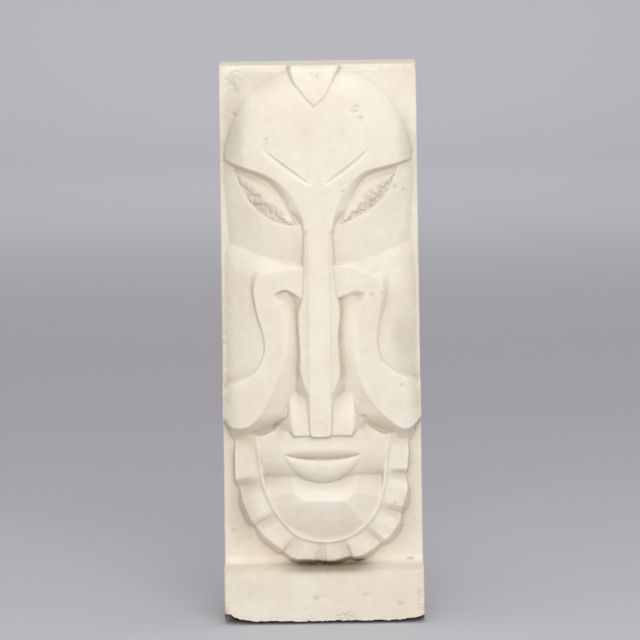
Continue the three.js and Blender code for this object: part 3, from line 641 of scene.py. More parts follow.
@dataclass
class LowerFace:
    """The muzzle with its lips, the planes of the chin, and the beard's ruff around them."""

    muzzle: float = 32.0
    muzzle_fall: float = 15.0
    muzzle_span: float = 62.0
    valley: float = 14.0
    rise_in: float = 12.0
    rise_out: float = 27.0
    under_level: float = 168.0
    lip_half: float = 39.0
    lip_corner: float = 171.0
    lip_top: float = 7.0
    lip_line: float = 5.0
    lip_bottom: float = 30.0
    lip_cut: float = 7.5
    lip_swell: float = 2.5
    lip_tuck: float = 12.0
    lip_arris: float = 3.5
    lip_arris_run: float = 0.25
    lip_lean: float = 1.6
    lip_round: float = 4.0
    lip_bows: tuple[float, float, float, float] = (0.5, 0.7, 0.8, 0.62)
    rise_from: tuple[float, float] = (36.0, 24.0)
    valley_floor: float = 0.06
    under_run: float = 24.0
    under_power: float = 2.2
    under_middle: float = 9.5
    under_spread: float = 13.0
    chin_level: float = 124.0
    chin_ridge: float = 30.0
    chin_half: float = 20.0
    chin_middle: float = 1.5
    chin_top: tuple[float, float, float] = (22.8, 143.0, 0.38)
    chin_front: float = 0.38
    chin_side: tuple[float, float] = (0.36, 0.1)
    chin_shoulder: tuple[float, float, float, float, float] = (13.0, 146.0, 0.35, 50.0, 0.5)
    ruff_top: float = 13.0
    ruff_bottom: float = 8.0
    ruff_lean: float = 0.08
    ruff_wave: float = 9.5
    calmer_below: float = 0.45
    ruff_wall_low: float = 1.9
    ruff_wall_high: float = 5.0
    bead: float = 2.4
    bead_half: float = 3.4
    bead_top: tuple[float, float] = (186.0, 10.0)
    scallop_rise: float = 0.4
    scallop_roll: float = 0.2
    wave_start: float = 2.0
    wave_run: float = 22.0
    edge_rounding: float = 0.6
    edge_turn: tuple[float, float] = (118.0, 26.0)
    scallop_ends: tuple[float, ...] = (0.0, 0.17, 0.295, 0.4, 0.485, 0.565, 0.65, 0.74, 0.86, 1.0)

    def __post_init__(self) -> None:
        """Draws the valleys beside the muzzle, the bead and the ruff's edge."""
        self.valleys = (
            smooth_line([(-36, 208), (-48, 197.5), (-66, 188)]),
            smooth_line([(37, 208), (52, 197), (66, 189)]),
        )
        self.bead_line = smooth_line([
            (-65, 188), (-63, 163), (-57, 134), (-45, 109), (-26, 89), (1, 82), (28, 88), (49, 106),
            (59, 129), (63, 158), (66, 187),
        ])
        self.edge = smooth_line([
            (-88, 189), (-88, 146), (-85, 136), (-77, 113), (-71, 101), (-62, 89), (-45, 75), (-31, 64),
            (-14, 63), (4, 60.5), (21, 64), (38, 66), (50, 73), (63, 82), (76, 98), (79.5, 115), (85, 132),
            (84, 146), (86.5, 167), (86, 189),
        ])
        self.inner = np.vstack([self.bead_line, self.valleys[1][::-1], self.valleys[0]])

    def muzzle_face(self, x: Array, z: Array) -> Array:
        """Height of the muzzle and the lips."""
        barrel = self.muzzle - self.muzzle_fall * (np.abs(x) / self.muzzle_span) ** 2
        to_valley = np.minimum(*[nearest(line, x, z)[0] for line in self.valleys])
        start, run = self.rise_from
        rise = mix(self.rise_in, self.rise_out, np.clip((np.abs(x) - start) / run, 0.0, 1.0))
        body = mix(self.valley, barrel, ease(self.valley_floor + to_valley / rise))
        below = np.clip((self.under_level - z) / self.under_run, 0.0, 2.0) ** self.under_power
        under = below * (self.under_middle + np.abs(x) / self.under_spread)
        taper, upper_bow, line_bow, lower_bow = (swell(x, self.lip_half, power) for power in self.lip_bows)
        top = self.lip_corner + self.lip_top * upper_bow
        line = self.lip_corner - self.lip_line * line_bow
        bottom = self.lip_corner - self.lip_bottom * lower_bow
        lean = np.clip((top - z) / np.maximum(top - line, 0.01), 0.0, 1.0)
        upper = body - self.lip_cut * taper * lean**self.lip_lean
        down = np.clip((line - z) / np.maximum(line - bottom, 0.01), 0.0, 1.0)
        turned = self.lip_arris * np.clip(1.0 - down / self.lip_arris_run, 0.0, 1.0) ** 1.5
        shape = self.lip_swell - self.lip_tuck * down**self.lip_round - turned
        lower = np.where(down < 1.0, np.maximum(body + shape * taper, body - under), body - under)
        lips = np.where(z > top, body, np.where(z > line, upper, lower))
        return np.where(np.abs(x) < self.lip_half, lips, body - under)

    def chin_face(self, x: Array, z: Array) -> Array:
        """Height of the chin: four planes that meet in a level ridge."""
        out = np.abs(x - self.chin_middle)
        over = z - self.chin_level
        height, level, tilt = self.chin_top
        top = height + (level - z) * tilt
        front = self.chin_ridge + over * self.chin_front
        side = self.chin_ridge - (out - self.chin_half) * self.chin_side[0] + over * self.chin_side[1]
        height, level, tilt, half, turn = self.chin_shoulder
        shoulder = height + (level - z) * tilt + (half - out) * turn
        return np.minimum(np.minimum(top, front), np.minimum(side, shoulder))

    def face(self, x: Array, z: Array) -> Array:
        """Height inside the bead: whichever of muzzle and chin stands higher."""
        return np.maximum(self.muzzle_face(x, z), self.chin_face(x, z))

    def scallop_wave(self, share: Array) -> Array:
        """Each scallop rises gently from the one above it and rolls over at its lower end."""
        ends = np.array(self.scallop_ends)
        index = np.clip(np.searchsorted(ends, share, side="right"), 1, len(ends) - 1)
        along = (share - ends[index - 1]) / (ends[index] - ends[index - 1])
        down = np.where(share < 0.5, along, 1.0 - along)
        return np.minimum(ease(down / self.scallop_rise), ease((1.0 - down) / self.scallop_roll))

    def ruff_face(self, x: Array, z: Array) -> Array:
        """Height of the ruff and its bead."""
        distance, share = nearest(self.bead_line, x, z)
        lift = self.ruff_top + self.ruff_bottom * np.sin(math.pi * share) ** 3
        bead = self.bead * np.maximum(0.0, 1.0 - (distance / self.bead_half) ** 2)
        bead = bead * ease((self.bead_top[0] - z) / self.bead_top[1])
        outward = ease((distance - self.wave_start) / self.wave_run) ** 0.6
        wave = self.ruff_wave * (self.scallop_wave(share) - 1.0) * outward
        wave = wave * (1.0 - self.calmer_below * np.sin(math.pi * share) ** 4)
        return lift - self.ruff_lean * distance + wave + bead

    def ruff(self) -> Form:
        """The ruff around the chin."""
        level, run = self.edge_turn
        slope = lambda x, z: mix(self.ruff_wall_low, self.ruff_wall_high, ease((z - level) / run))
        return Form(self.edge, self.ruff_face, slope, self.edge_rounding)


@dataclass
class MaskRelief:
    """The whole relief over the block's background plane."""

    base_height: float = 55.0
    depth: float = 40.0
    ledge_run: float = 1.2
    cove: float = 9.0
    seam_run: float = 2.8
    nose_half: float = 31.0
    nose_end: float = 189.0
    forehead: Forehead = field(default_factory=Forehead)
    cheeks: Cheeks = field(default_factory=Cheeks)
    nose: Nose = field(default_factory=Nose)
    scrolls: Scrolls = field(default_factory=Scrolls)
    lower: LowerFace = field(default_factory=LowerFace)

    def __post_init__(self) -> None:
        """Sets the eyes between the brows and the cheeks."""
        self.eyes = Eyes(self.forehead, self.cheeks)

    def background(self, z: Array) -> Array:
        """The background plane, which curves out to the ledge."""
        over = z - self.base_height
        rise = np.clip(over - self.ledge_run, 0.0, self.cove)
        curved = self.cove - np.sqrt(self.cove**2 - (self.cove - rise) ** 2)
        ledge = mix(self.depth, self.cove, np.clip(over / self.ledge_run, 0.0, 1.0))
        return np.where(over < self.ledge_run, ledge, curved)

    def height(self, x: Array, z: Array) -> Array:
        """Height of the relief at places on the front.

        Args:
            x: Sideways positions in the drawing's millimetres.
            z: Heights over the underside in the drawing's millimetres.

        Returns:
            The relief's heights over the background plane.
        """
        ground = self.background(z)
        made = np.maximum(ground, np.maximum(self.cheeks.surface(x, z), self.forehead.spandrel(x, z)))
        within = self.scrolls.within(x, z)
        made[within] = np.maximum(ground[within], self.scrolls.hollow(x[within], z[within]))
        for side in Side:
            socket = is_inside(self.eyes.socket(side), x, z)
            made[socket] = self.eyes.surface(side, x[socket], z[socket])
        forms = [*self.forehead.forms(), *self.nose.forms(), *self.scrolls.forms(), self.lower.ruff()]
        for form in forms:
            made = np.maximum(made, form.height(x, z))
        made = self.with_lower_face(made, x, z)
        made = made - self.forehead.cut(x, z) - self.nose.cut(x, z)
        return np.where(z < self.base_height, self.depth, made)

    def with_lower_face(self, made: Array, x: Array, z: Array) -> Array:
        """Sets muzzle and chin inside the bead, under the nose and between the valleys.

        Args:
            made: The relief's heights so far.
            x: Sideways positions.
            z: Heights over the underside.

        Returns:
            The heights with the lower face in them.
        """
        near = (z < 216.0) & (z > self.base_height) & (np.abs(x) < 70.0)
        px, pz, before = x[near], z[near], made[near]
        inside = depth_inside(self.lower.inner, px, pz)
        face = self.lower.face(px, pz)
        face = np.where(pz > self.nose_end + 1.0, np.maximum(face, before), face)
        under_nose = ease((pz - self.nose_end) / 2.0) * (np.abs(px) < self.nose_half)
        share = ease(inside / self.seam_run) * (1.0 - under_nose)
        after = made.copy()
        after[near] = mix(before, face, share)
        return after


@dataclass(frozen=True)
class Mark:
    """A pit or chip in the stone: its place, radius and depth in millimetres."""

    x: float
    z: float
    radius: float
    depth: float


@dataclass(frozen=True)
class Patch:
    """A soft-edged oval on the front: its middle, its half width and height, and its strength."""

    x: float
    z: float
    across: float
    upward: float
    strength: float

    def at(self, x: Array, z: Array) -> Array:
        """The patch's strength at places."""
        away = np.hypot((x - self.x) / self.across, (z - self.z) / self.upward)
        return self.strength * ease(SOFT_EDGE - away)


@dataclass
class StoneWear:
    """What time and the chisel left on the relief: pits, picked stone, chips and soft waves."""

    relief: MaskRelief
    marks: tuple[Mark, ...] = (
        Mark(-85, 514, 1.8, 2.4), Mark(-6, 555, 1.0, 1.2), Mark(-1, 552.5, 1.3, 1.4),
        Mark(-53, 490, 1.1, 1.3), Mark(-52, 486, 0.8, 0.8), Mark(86, 436, 1.4, 1.5),
        Mark(52, 332, 1.2, 1.4), Mark(62, 333, 1.2, 1.3),
        Mark(81, 240, 1.5, 1.6), Mark(87, 144, 1.6, 1.6), Mark(72, 118, 1.5, 1.6), Mark(-91, 90, 1.4, 1.4),
        Mark(-75, 83, 1.2, 1.0), Mark(-81, 97, 1.0, 0.8), Mark(77, 440, 1.6, 1.6), Mark(24, 437, 1.2, 1.0),
    )
    scratches: tuple[Outline, ...] = (
        ((-88, 475), (-60, 505)), ((-57, 520), (-40, 497)), ((21, 470), (33, 480)), ((-30, 470), (-14, 492)),
        ((15, 520), (24, 497)), ((-12, 30), (6, 24)), ((-70, 22), (-48, 27)), ((30, 34), (52, 30)),
        ((60, 40), (84, 43)), ((-40, 12), (-18, 15)), ((-30, 256), (-12, 254)), ((38, 300), (52, 296)),
        ((-1, 340), (9, 339)), ((-80, 540), (-64, 552)), ((60, 505), (72, 484)), ((-20, 500), (-6, 512)),
    )
    rough: tuple[Patch, ...] = (
        Patch(-85, 547, 10, 18, 1.3), Patch(37, 520, 6, 5, 1.8), Patch(43, 510, 3, 4, 1.8),
        Patch(82, 249, 12, 6, 0.9), Patch(76, 26, 6, 4, 0.5), Patch(-4, 27, 10, 5, 0.4),
        Patch(48, 30, 8, 3, 0.4), Patch(21, 5, 12, 5, 1.6), Patch(-16, 3, 6, 3, 1.5),
        Patch(60, 556, 30, 4, 0.8), Patch(97, 30, 3, 24, 1.3), Patch(-12, 554, 8, 5, 0.5),
        Patch(-72, 60, 10, 4, 0.7), Patch(-100, 300, 3, 60, 0.8), Patch(3, 340, 6, 2, 0.6),
    )
    wave_depth: float = 0.3
    ripple_depth: float = 0.16
    grit_depth: float = 0.08
    pick_level: float = 0.5
    scratch_depth: float = 0.3
    scratch_half: float = 0.8

    def __post_init__(self) -> None:
        """Draws the patterns of unevenness."""
        self.wave = Grain(3, 22.0)
        self.ripple = Grain(5, 6.5)
        self.grit = Grain(7, 2.2)
        self.picks = Grain(11, 3.0)

    def depth(self, x: Array, z: Array) -> Array:
        """How far the worn surface lies below the relief's own."""
        made = self.wave_depth * self.wave.at(x, z) + self.ripple_depth * self.ripple.at(x, z)
        made += self.grit_depth * self.grit.at(x, z)
        picks = self.pick_level + self.picks.at(x, z)
        for mark in self.marks:
            away = np.hypot(x - mark.x, z - mark.z) / mark.radius
            made += mark.depth * np.exp(-(away**2))
        for side in Side:
            picked = self.relief.eyes.picking(side, x, z)
            made += picked * self.relief.eyes.picked * picks
        for start, end in self.scratches:
            line = np.array([start, end], dtype=float)
            distance, share = nearest(line, x, z)
            beside = np.maximum(0.0, 1.0 - distance / self.scratch_half)
            made += self.scratch_depth * np.sin(math.pi * share) * beside
        for patch in self.rough:
            made += patch.at(x, z) * picks
        return made


@dataclass
class CarvedBlock:
    """The block's mesh: a fine front sheet, drawn out and closed to a solid."""

    relief: MaskRelief
    low: Vector
    high: Vector
    columns: int = 168
    rows: int = 470
    arris_rings: int = 3
    side_rings: int = 6
    drawn_half: float = 100.0
    drawn_top: float = 563.0
    top_narrowing: float = 0.98
    side_wear: float = 2.0
    top_wear: float = 2.5
    foot_wear: float = 3.6
    foot_run: float = 26.0
    side_run: float = 14.0
    foot_recess: float = 30.0
    back_wear: float = 2.5
    back_border: float = 3.0
    corner_from: float = 68.0
    corner_run: float = 32.0
    corner_rise: dict[Side, float] = field(default_factory=lambda: {Side.LEFT: 11.0, Side.RIGHT: 5.0})
    top_corner: dict[Side, float] = field(default_factory=lambda: {Side.LEFT: 2.5, Side.RIGHT: 4.0})
    top_corner_from: tuple[float, float] = (552.0, 14.0)
    foot_corner_run: float = 16.0
    base_top: float = 62.0
    base_chips: float = 0.8
    nick_depth: float = 0.7
    foot_nicks: float = 0.9
    foot_chatter: float = 0.5
    top_run: float = 10.0
    wide_blur: int = 6
    narrow_blur: int = 2
    recess_blur: int = 13
    shelter_full: float = 8.0
    proud_full: float = 2.0
    recess_full: float = 14.0
    base_shelter: float = 0.15
    base_shelter_from: tuple[float, float] = (62.0, 10.0)
    proud_most: float = 0.5
    proud_from: tuple[float, float] = (58.0, 8.0)
    recess_above: float = 3.0
    recess_run: float = 12.0
    recess_most: float = 1.2
    rough_share: float = 0.5
    beneath_middle: tuple[float, float] = (4.0, 57.0)
    beneath_reach: tuple[float, float] = (42.0, 4.5)
    least_inset: float = 0.8
    side_nicks: float = 0.35
    gather_rounds: int = 140
    gather_pull: float = 0.85
    foot_corner: dict[Side, float] = field(default_factory=lambda: {Side.LEFT: 5.0, Side.RIGHT: 1.5})
    stroke_light_at: float = 2.0
    stroke_light_reach: float = 1.6
    brow_light_reach: float = 7.0
    brow_light_shelter: float = 0.8
    brow_light_recess: float = 0.9
    mark_shadow: float = 0.6
    # Painted shade: darker patches on the right cheek, the margins, the upper corners and beside the eyes, added
    # to the recess shade.
    shaded_patches: tuple[Patch, ...] = (
        Patch(-86, 516, 16, 34, 0.6), Patch(84, 284, 14, 30, 0.5), Patch(-82, 112, 18, 38, 0.6),
        Patch(84, 100, 14, 34, 0.3), Patch(18, 95, 60, 10, 0.2), Patch(-62, 548, 40, 12, 0.4),
        Patch(-84, 482, 10, 26, 0.5), Patch(88, 490, 8, 30, 0.4), Patch(-70, 402, 26, 26, 0.15),
    )
    # Painted light: lighter patches over the muzzle, chin, bead, the cheeks beside the nose, the top edge and
    # the ledge.
    lit_and_rubbed: tuple[Patch, ...] = (
        Patch(-52, 362, 32, 9, 0.7), Patch(72, 352, 14, 20, 0.7), Patch(-88, 64, 9, 9, 0.5),
        Patch(0, 560, 90, 3, 0.6), Patch(0, 181, 48, 9, 1.0), Patch(0, 128, 40, 14, 0.9),
        Patch(0, 60, 220, 5, 0.5), Patch(0, 105, 24, 20, 0.35),
        Patch(-30, 285, 11, 50, 0.7), Patch(29, 285, 11, 50, 0.7), Patch(-1, 300, 10, 90, 0.3),
    )
    # Brown spots: those at the foot of the ruff deepen its painted shadow, those on the base are stains.
    brown: tuple[Patch, ...] = (
        Patch(87, 60, 5, 2, 0.45), Patch(36, 60, 6, 2, 0.6), Patch(4, 60, 6, 2, 0.5),
        Patch(-8, 27, 3, 3, 0.25), Patch(41, 30, 4, 2, 0.25), Patch(76, 20, 4, 3, 0.25),
    )

    def __post_init__(self) -> None:
        """Sets the wear and the block's unevenness."""
        self.wear = StoneWear(self.relief)
        self.nicks = Grain(17, 7.0)
        self.chatter = Grain(19, 2.6)
        self.rings = 2 * self.arris_rings + self.side_rings + 1

    def half_width(self, z: Array) -> Array:
        """Half the block's width at heights in the drawing."""
        base = (self.high.x - self.low.x) / 2.0 / MILLIMETRE
        return base * mix(1.0, self.top_narrowing, z / self.drawn_top)

    def foot_edge(self, x: Array) -> Array:
        """How high the worn lower edge stands across the front."""
        corner = np.clip((np.abs(x) - self.corner_from) / self.corner_run, 0.0, 1.0) ** 2
        rise = np.where(x < 0.0, self.corner_rise[Side.LEFT], self.corner_rise[Side.RIGHT]) * corner
        rough = self.foot_nicks * self.nicks.at(x, x * 0.0 + 3.0)
        rough = rough + self.foot_chatter * self.chatter.at(x, x * 0.0)
        return self.foot_wear + rise + rough

    def side_inset(self, side: Side, z: Array) -> Array:
        """How far the front's border stays inside the block's side."""
        inset = self.side_wear + self.nick_depth * self.nicks.at(z, z * 0.0 + 40.0 * side.value)
        top = ramp(z, *self.top_corner_from) * self.top_corner[side]
        chips = self.base_chips * (1.0 + self.chatter.at(z, z * 0.0 + 9.0))
        base = ease((self.base_top - z) / 8.0) * chips
        foot = ease(1.0 - z / self.foot_corner_run) * self.foot_corner[side]
        return np.maximum(self.least_inset, inset + top + base + foot)

    def blank(self) -> bpy.types.Object:
        """A sheet of fine cells, drawn out ring by ring and closed behind.

        Returns:
            The blank, with its rings one unit apart under the sheet.
        """
        bpy.ops.object.select_all(action="DESELECT")
        bpy.ops.mesh.primitive_grid_add(
            x_subdivisions=self.columns, y_subdivisions=self.rows, size=1.0, location=(0, 0, 0)
        )
        made = bpy.context.object
        made.name = "carved_sandstone_block"
        bpy.ops.object.mode_set(mode="EDIT")
        bpy.ops.mesh.select_mode(type="EDGE")
        bpy.ops.mesh.select_all(action="DESELECT")
        bpy.ops.mesh.select_non_manifold(extend=False)
        for _ in range(self.rings):
            bpy.ops.mesh.extrude_region_move(TRANSFORM_OT_translate={"value": (0.0, 0.0, -1.0)})
        bpy.ops.mesh.edge_face_add()
        bpy.ops.mesh.select_all(action="SELECT")
        bpy.ops.mesh.normals_make_consistent(inside=False)
        bpy.ops.object.mode_set(mode="OBJECT")
        return made

    def sheet_places(self) -> tuple[Array, Array]:
        """Places of the front sheet's points on the drawing, gathered where the carving turns.

        Returns:
            Sideways positions and heights, one row of the sheet to an array row.
        """
        u = np.linspace(-1.0, 1.0, self.columns + 1)
        v = np.linspace(0.0, 1.0, self.rows + 1)
        x, z = np.meshgrid(u * self.drawn_half, v * self.drawn_top)
        weight = self.turning_weight()
        for _ in range(self.gather_rounds):
            w = self.sample(weight, x, z)
            across = (w[:, 1:] + w[:, :-1]) / 2.0
            upward = (w[1:, :] + w[:-1, :]) / 2.0
            total, sum_x, sum_z = np.zeros_like(w), np.zeros_like(w), np.zeros_like(w)
            for to, start, pull in (
                (np.s_[:, 1:], np.s_[:, :-1], across), (np.s_[:, :-1], np.s_[:, 1:], across),
                (np.s_[1:, :], np.s_[:-1, :], upward), (np.s_[:-1, :], np.s_[1:, :], upward),
            ):
                total[to] += pull
                sum_x[to] += pull * x[start]
                sum_z[to] += pull * z[start]
            moved_x, moved_z = sum_x / total, sum_z / total
            x[:, 1:-1] = mix(x[:, 1:-1], moved_x[:, 1:-1], self.gather_pull)
            z[1:-1, :] = mix(z[1:-1, :], moved_z[1:-1, :], self.gather_pull)
        return x, z

    def turning_weight(self) -> Array:
        """How strongly points gather, from the relief's slope and turn, one cell a millimetre."""
        x, z = np.meshgrid(np.arange(-100.0, 101.0), np.arange(0.0, 564.0))
        height = self.relief.height(x, z)
        rise_z, rise_x = np.gradient(height)
        slope = np.clip(np.hypot(rise_x, rise_z), 0.0, 3.0)
        turn = np.abs(np.gradient(rise_x, axis=1)) + np.abs(np.gradient(rise_z, axis=0))
        return self.blurred(0.8 + 0.9 * slope + 1.4 * np.clip(turn, 0.0, 1.5), 1)

    def blurred(self, values: Array, reach: int) -> Array:
        """Values averaged over a square of cells, twice."""
        made = values
        for _ in range(2):
            for axis in (0, 1):
                padded = np.pad(made, [(reach, reach) if a == axis else (0, 0) for a in (0, 1)], mode="edge")
                count = 2 * reach + 1
                windows = [np.take(padded, range(k, k + made.shape[axis]), axis=axis) for k in range(count)]
                made = sum(windows) / count
        return made

    def sample(self, values: Array, x: Array, z: Array) -> Array:
        """Values of a millimetre map at places on the drawing."""
        column = np.clip(x + 100.0, 0.0, values.shape[1] - 1.001)
        row = np.clip(z, 0.0, values.shape[0] - 1.001)
        i, j = column.astype(int), row.astype(int)
        across, up = column - i, row - j
        low = mix(values[j, i], values[j, i + 1], across)
        high = mix(values[j + 1, i], values[j + 1, i + 1], across)
        return mix(low, high, up)

    def carve(self, piece: bpy.types.Object) -> None:
        """Moves every point of the blank to its place on the carved block."""
        mesh = piece.data
        flat = np.empty(len(mesh.vertices) * 3)
        mesh.vertices.foreach_get("co", flat)
        points = flat.reshape(-1, 3)
        column = np.round((points[:, 0] + 0.5) * self.columns).astype(int)
        row = np.round((points[:, 1] + 0.5) * self.rows).astype(int)
        ring = np.round(-points[:, 2]).astype(int)
        x, z = self.sheet_places()
        front = self.front_points(x, z)
        made = front[row, column].copy()
        behind = ring > 0
        made[behind] = self.side_points(made[behind], column[behind], row[behind], ring[behind])
        mesh.vertices.foreach_set("co", (made * MILLIMETRE).ravel())
        mesh.update()
        self.paint(piece, x, z, column, row, ring)

    def front_points(self, x: Array, z: Array) -> Array:
        """Places of the front sheet in space, in millimetres, with its border drawn in."""
        half = self.half_width(z)
        share = (x / self.drawn_half + 1.0) / 2.0
        left = -half + self.side_inset(Side.LEFT, z)
        right = half - self.side_inset(Side.RIGHT, z)
        placed_x = mix(left, right, share)
        inner = ease((self.drawn_half - np.abs(x)) / self.side_run)
        placed_x = mix(placed_x, x / self.drawn_half * half, inner)
        foot = self.foot_edge(placed_x)
        placed_z = z + foot * np.clip(1.0 - z / self.foot_run, 0.0, 1.0)
        near_top = ease(1.0 - (self.drawn_top - z) / self.top_run)
        top_wear = self.top_wear + self.nick_depth * self.nicks.at(placed_x, placed_x * 0.0 + 80.0)
        placed_z = placed_z * self.height_scale() - near_top * top_wear
        height = self.relief.height(x, z) - self.wear.depth(x, z)
        y = self.low.y / MILLIMETRE + self.relief.depth - height
        return np.stack([placed_x, y, placed_z], axis=-1)

    def height_scale(self) -> float:
        """The block's height over the drawing's."""
        return (self.high.z - self.low.z) / MILLIMETRE / self.drawn_top

    def side_points(self, start: Array, column: Array, row: Array, ring: Array) -> Array:
        """Places of the rings behind the front's border.

        Args:
            start: Places of the border points that the rings start from.
            column: The points' columns in the sheet.
            row: The points' rows in the sheet.
            ring: The points' rings, from 1 behind the border to the last at the back.

        Returns:
            The points' places in millimetres.
        """
        top = (self.high.z - self.low.z) / MILLIMETRE
        back = self.high.y / MILLIMETRE
        half = self.half_width(start[:, 2] / self.height_scale())
        out_x = np.where(column == 0, -1.0, np.where(column == self.columns, 1.0, 0.0))
        out_z = np.where(row == 0, -1.0, np.where(row == self.rows, 1.0, 0.0))
        gap_x = (half - np.abs(start[:, 0])) * np.abs(out_x)
        gap_z = np.where(out_z < 0, start[:, 2], np.where(out_z > 0, top - start[:, 2], 0.0))
        wear = np.maximum(gap_x, gap_z)
        first = np.clip(ring / self.arris_rings, 0.0, 1.0) * math.pi / 2.0
        behind = ring - self.rings + self.arris_rings + 1
        last = np.clip(behind / self.arris_rings, 0.0, 1.0) * math.pi / 2.0
        x = start[:, 0] + out_x * gap_x * np.sin(first)
        turned = 1.0 - np.cos(first)
        z = start[:, 2] + out_z * gap_z * np.where(out_z < 0, turned**3, np.sin(first))
        near = start[:, 1] + np.where(out_z < 0, self.foot_recess * np.sin(first), wear * turned)
        along = np.clip((ring - self.arris_rings) / self.side_rings, 0.0, 1.0)
        y = mix(near, back - self.back_wear, along) + self.back_wear * np.sin(last)
        drawn_in = self.back_wear * (1.0 - np.cos(last))
        flat = np.clip(ring - self.rings + 1.0, 0.0, 1.0) * self.back_border
        x = x * (1.0 - (drawn_in + flat) / half)
        z = mix(drawn_in + flat, top - drawn_in - flat, z / top)
        rough = self.side_nicks * self.nicks.at(y + 31.0, z + x) * (first > 1.5) * (last < 0.1)
        x -= out_x * np.abs(rough)
        z -= np.where(out_z > 0, np.abs(rough), 0.0)
        return np.stack([x, y, z], axis=-1)

    def paint(
        self, piece: bpy.types.Object, x: Array, z: Array, column: Array, row: Array, ring: Array
    ) -> None:
        """Stores painted hollow shade, painted highlight with rubbed wear, brown stain with painted shadow,
        painted recess shade and how picked each point is, for the finish.
        """
        grid_x, grid_z = np.meshgrid(np.arange(-100.0, 101.0), np.arange(0.0, 564.0))
        height = self.relief.height(grid_x, grid_z)
        wide = self.blurred(height, self.wide_blur)
        narrow = self.blurred(height, self.narrow_blur)
        front = ring == 0
        # Painted shade: points lying below the wide average of the relief, in hollows and notches, are darkened
        # toward a grey tone.
        hollow_shade = np.clip(self.sample(wide - height, x, z) / self.shelter_full, 0.0, 1.0)
        hollow_shade = hollow_shade * mix(self.base_shelter, 1.0, ramp(z, *self.base_shelter_from))
        # Painted highlight with rubbed wear: crests and proud edges are lightened.
        proud_highlight = np.clip(self.sample(height - narrow, x, z) / self.proud_full, 0.0, 1.0)
        proud_highlight = self.proud_most * proud_highlight * ramp(z, *self.proud_from)
        # Painted shade: broad recesses below a wide average of the relief are darkened, from just above the
        # ledge upward.
        plain = np.where(grid_z < self.relief.base_height + self.relief.cove, 0.0, height)
        hollow = self.sample(self.blurred(plain, self.recess_blur) - plain, x, z)
        recess_shade = np.clip(hollow / self.recess_full, 0.0, 1.0)
        recess_shade = recess_shade * ramp(z, self.relief.base_height + self.recess_above, self.recess_run)
        forehead = self.relief.forehead
        for brow in forehead.brows.values():
            lit = np.exp(-((nearest(brow, x, z)[0] / self.brow_light_reach) ** 2))
            hollow_shade = hollow_shade * (1.0 - self.brow_light_shelter * lit)
            recess_shade = recess_shade * (1.0 - self.brow_light_recess * lit)
        # Painted highlight along the lower lip of each stroke.
        for line in forehead.strokes:
            below = nearest(line, x, z)[0] - self.stroke_light_at
            lit = np.exp(-((below / self.stroke_light_reach) ** 2))
            proud_highlight = np.maximum(proud_highlight, (z < forehead.stroke_level(line, x)) * lit)
        # Painted shade around each pit.
        for mark in self.wear.marks:
            away = np.hypot(x - mark.x, z - mark.z) / (mark.radius + self.mark_shadow)
            hollow_shade = np.maximum(hollow_shade, np.exp(-(away**2)))
        # The shaded patches add painted shade to the recess shade.
        recess_shade = np.minimum(self.recess_most, recess_shade + sum(patch.at(x, z) for patch in self.shaded_patches))
        proud_highlight = np.minimum(1.0, proud_highlight + sum(patch.at(x, z) for patch in self.lit_and_rubbed))
        picked = sum(self.relief.eyes.picking(side, x, z) for side in Side)
        rough = sum(patch.at(x, z) for patch in self.wear.rough)
        picked = np.minimum(1.0, picked + self.rough_share * rough)
        # Painted shadow: a dark brown band under the ruff, with brown stain spots.
        (middle_x, middle_z), (reach_x, reach_z) = self.beneath_middle, self.beneath_reach
        beneath = np.exp(-(((x - middle_x) / reach_x) ** 4)) * np.exp(-(((z - middle_z) / reach_z) ** 2))
        beneath = np.minimum(1.0, beneath + sum(patch.at(x, z) for patch in self.brown))
        # Painted shadow: the underside in the gap under the front is painted dark brown.
        underside = (row == 0) & (column > 0) & (column < self.columns)
        underside &= ring < self.rings - self.arris_rings
        painted = {"hollow_shade": hollow_shade, "proud_highlight": proud_highlight, "stain_and_shadow": beneath, "recess_shade": recess_shade, "picked": picked}
        for name, values in painted.items():
            layer = piece.data.attributes.new(name, "FLOAT", "POINT")
            behind = underside * 1.0 if name == "stain_and_shadow" else 0.0
            layer.data.foreach_set("value", np.where(front, values[row, column], behind))

    def build(self) -> bpy.types.Object:
        """Makes the carved block.

        Returns:
            The finished piece, at the origin.
        """
        piece = self.blank()
        self.carve(piece)
        bpy.ops.object.shade_smooth_by_angle(angle=math.radians(62.0))
        return piece


def linear(hex_colour: str) -> tuple[float, float, float, float]:
    """An sRGB hex colour as linear values with full alpha."""
    parts = [int(hex_colour[i : i + 2], 16) / 255.0 for i in (1, 3, 5)]
    made = [p / 12.92 if p <= 0.04045 else ((p + 0.055) / 1.055) ** 2.4 for p in parts]
    return (made[0], made[1], made[2], 1.0)


def add_node(
    material: bpy.types.Material, kind: str, settings: dict | None = None, links: dict | None = None
) -> bpy.types.Node:
    """Adds a shader node.

    Args:
        material: The material to add it to.
        kind: The node's type name.
        settings: Node properties, or input values where the name is an input's.
        links: Output sockets to plug into the node's inputs, by input name or number.

    Returns:
        The node.
    """
    node = material.node_tree.nodes.new(kind)
    for name, value in (settings or {}).items():
        if isinstance(name, int) or name in node.inputs:
            node.inputs[name].default_value = value
        else:
            setattr(node, name, value)
    for name, socket in (links or {}).items():
        material.node_tree.links.new(socket, node.inputs[name])
    return node


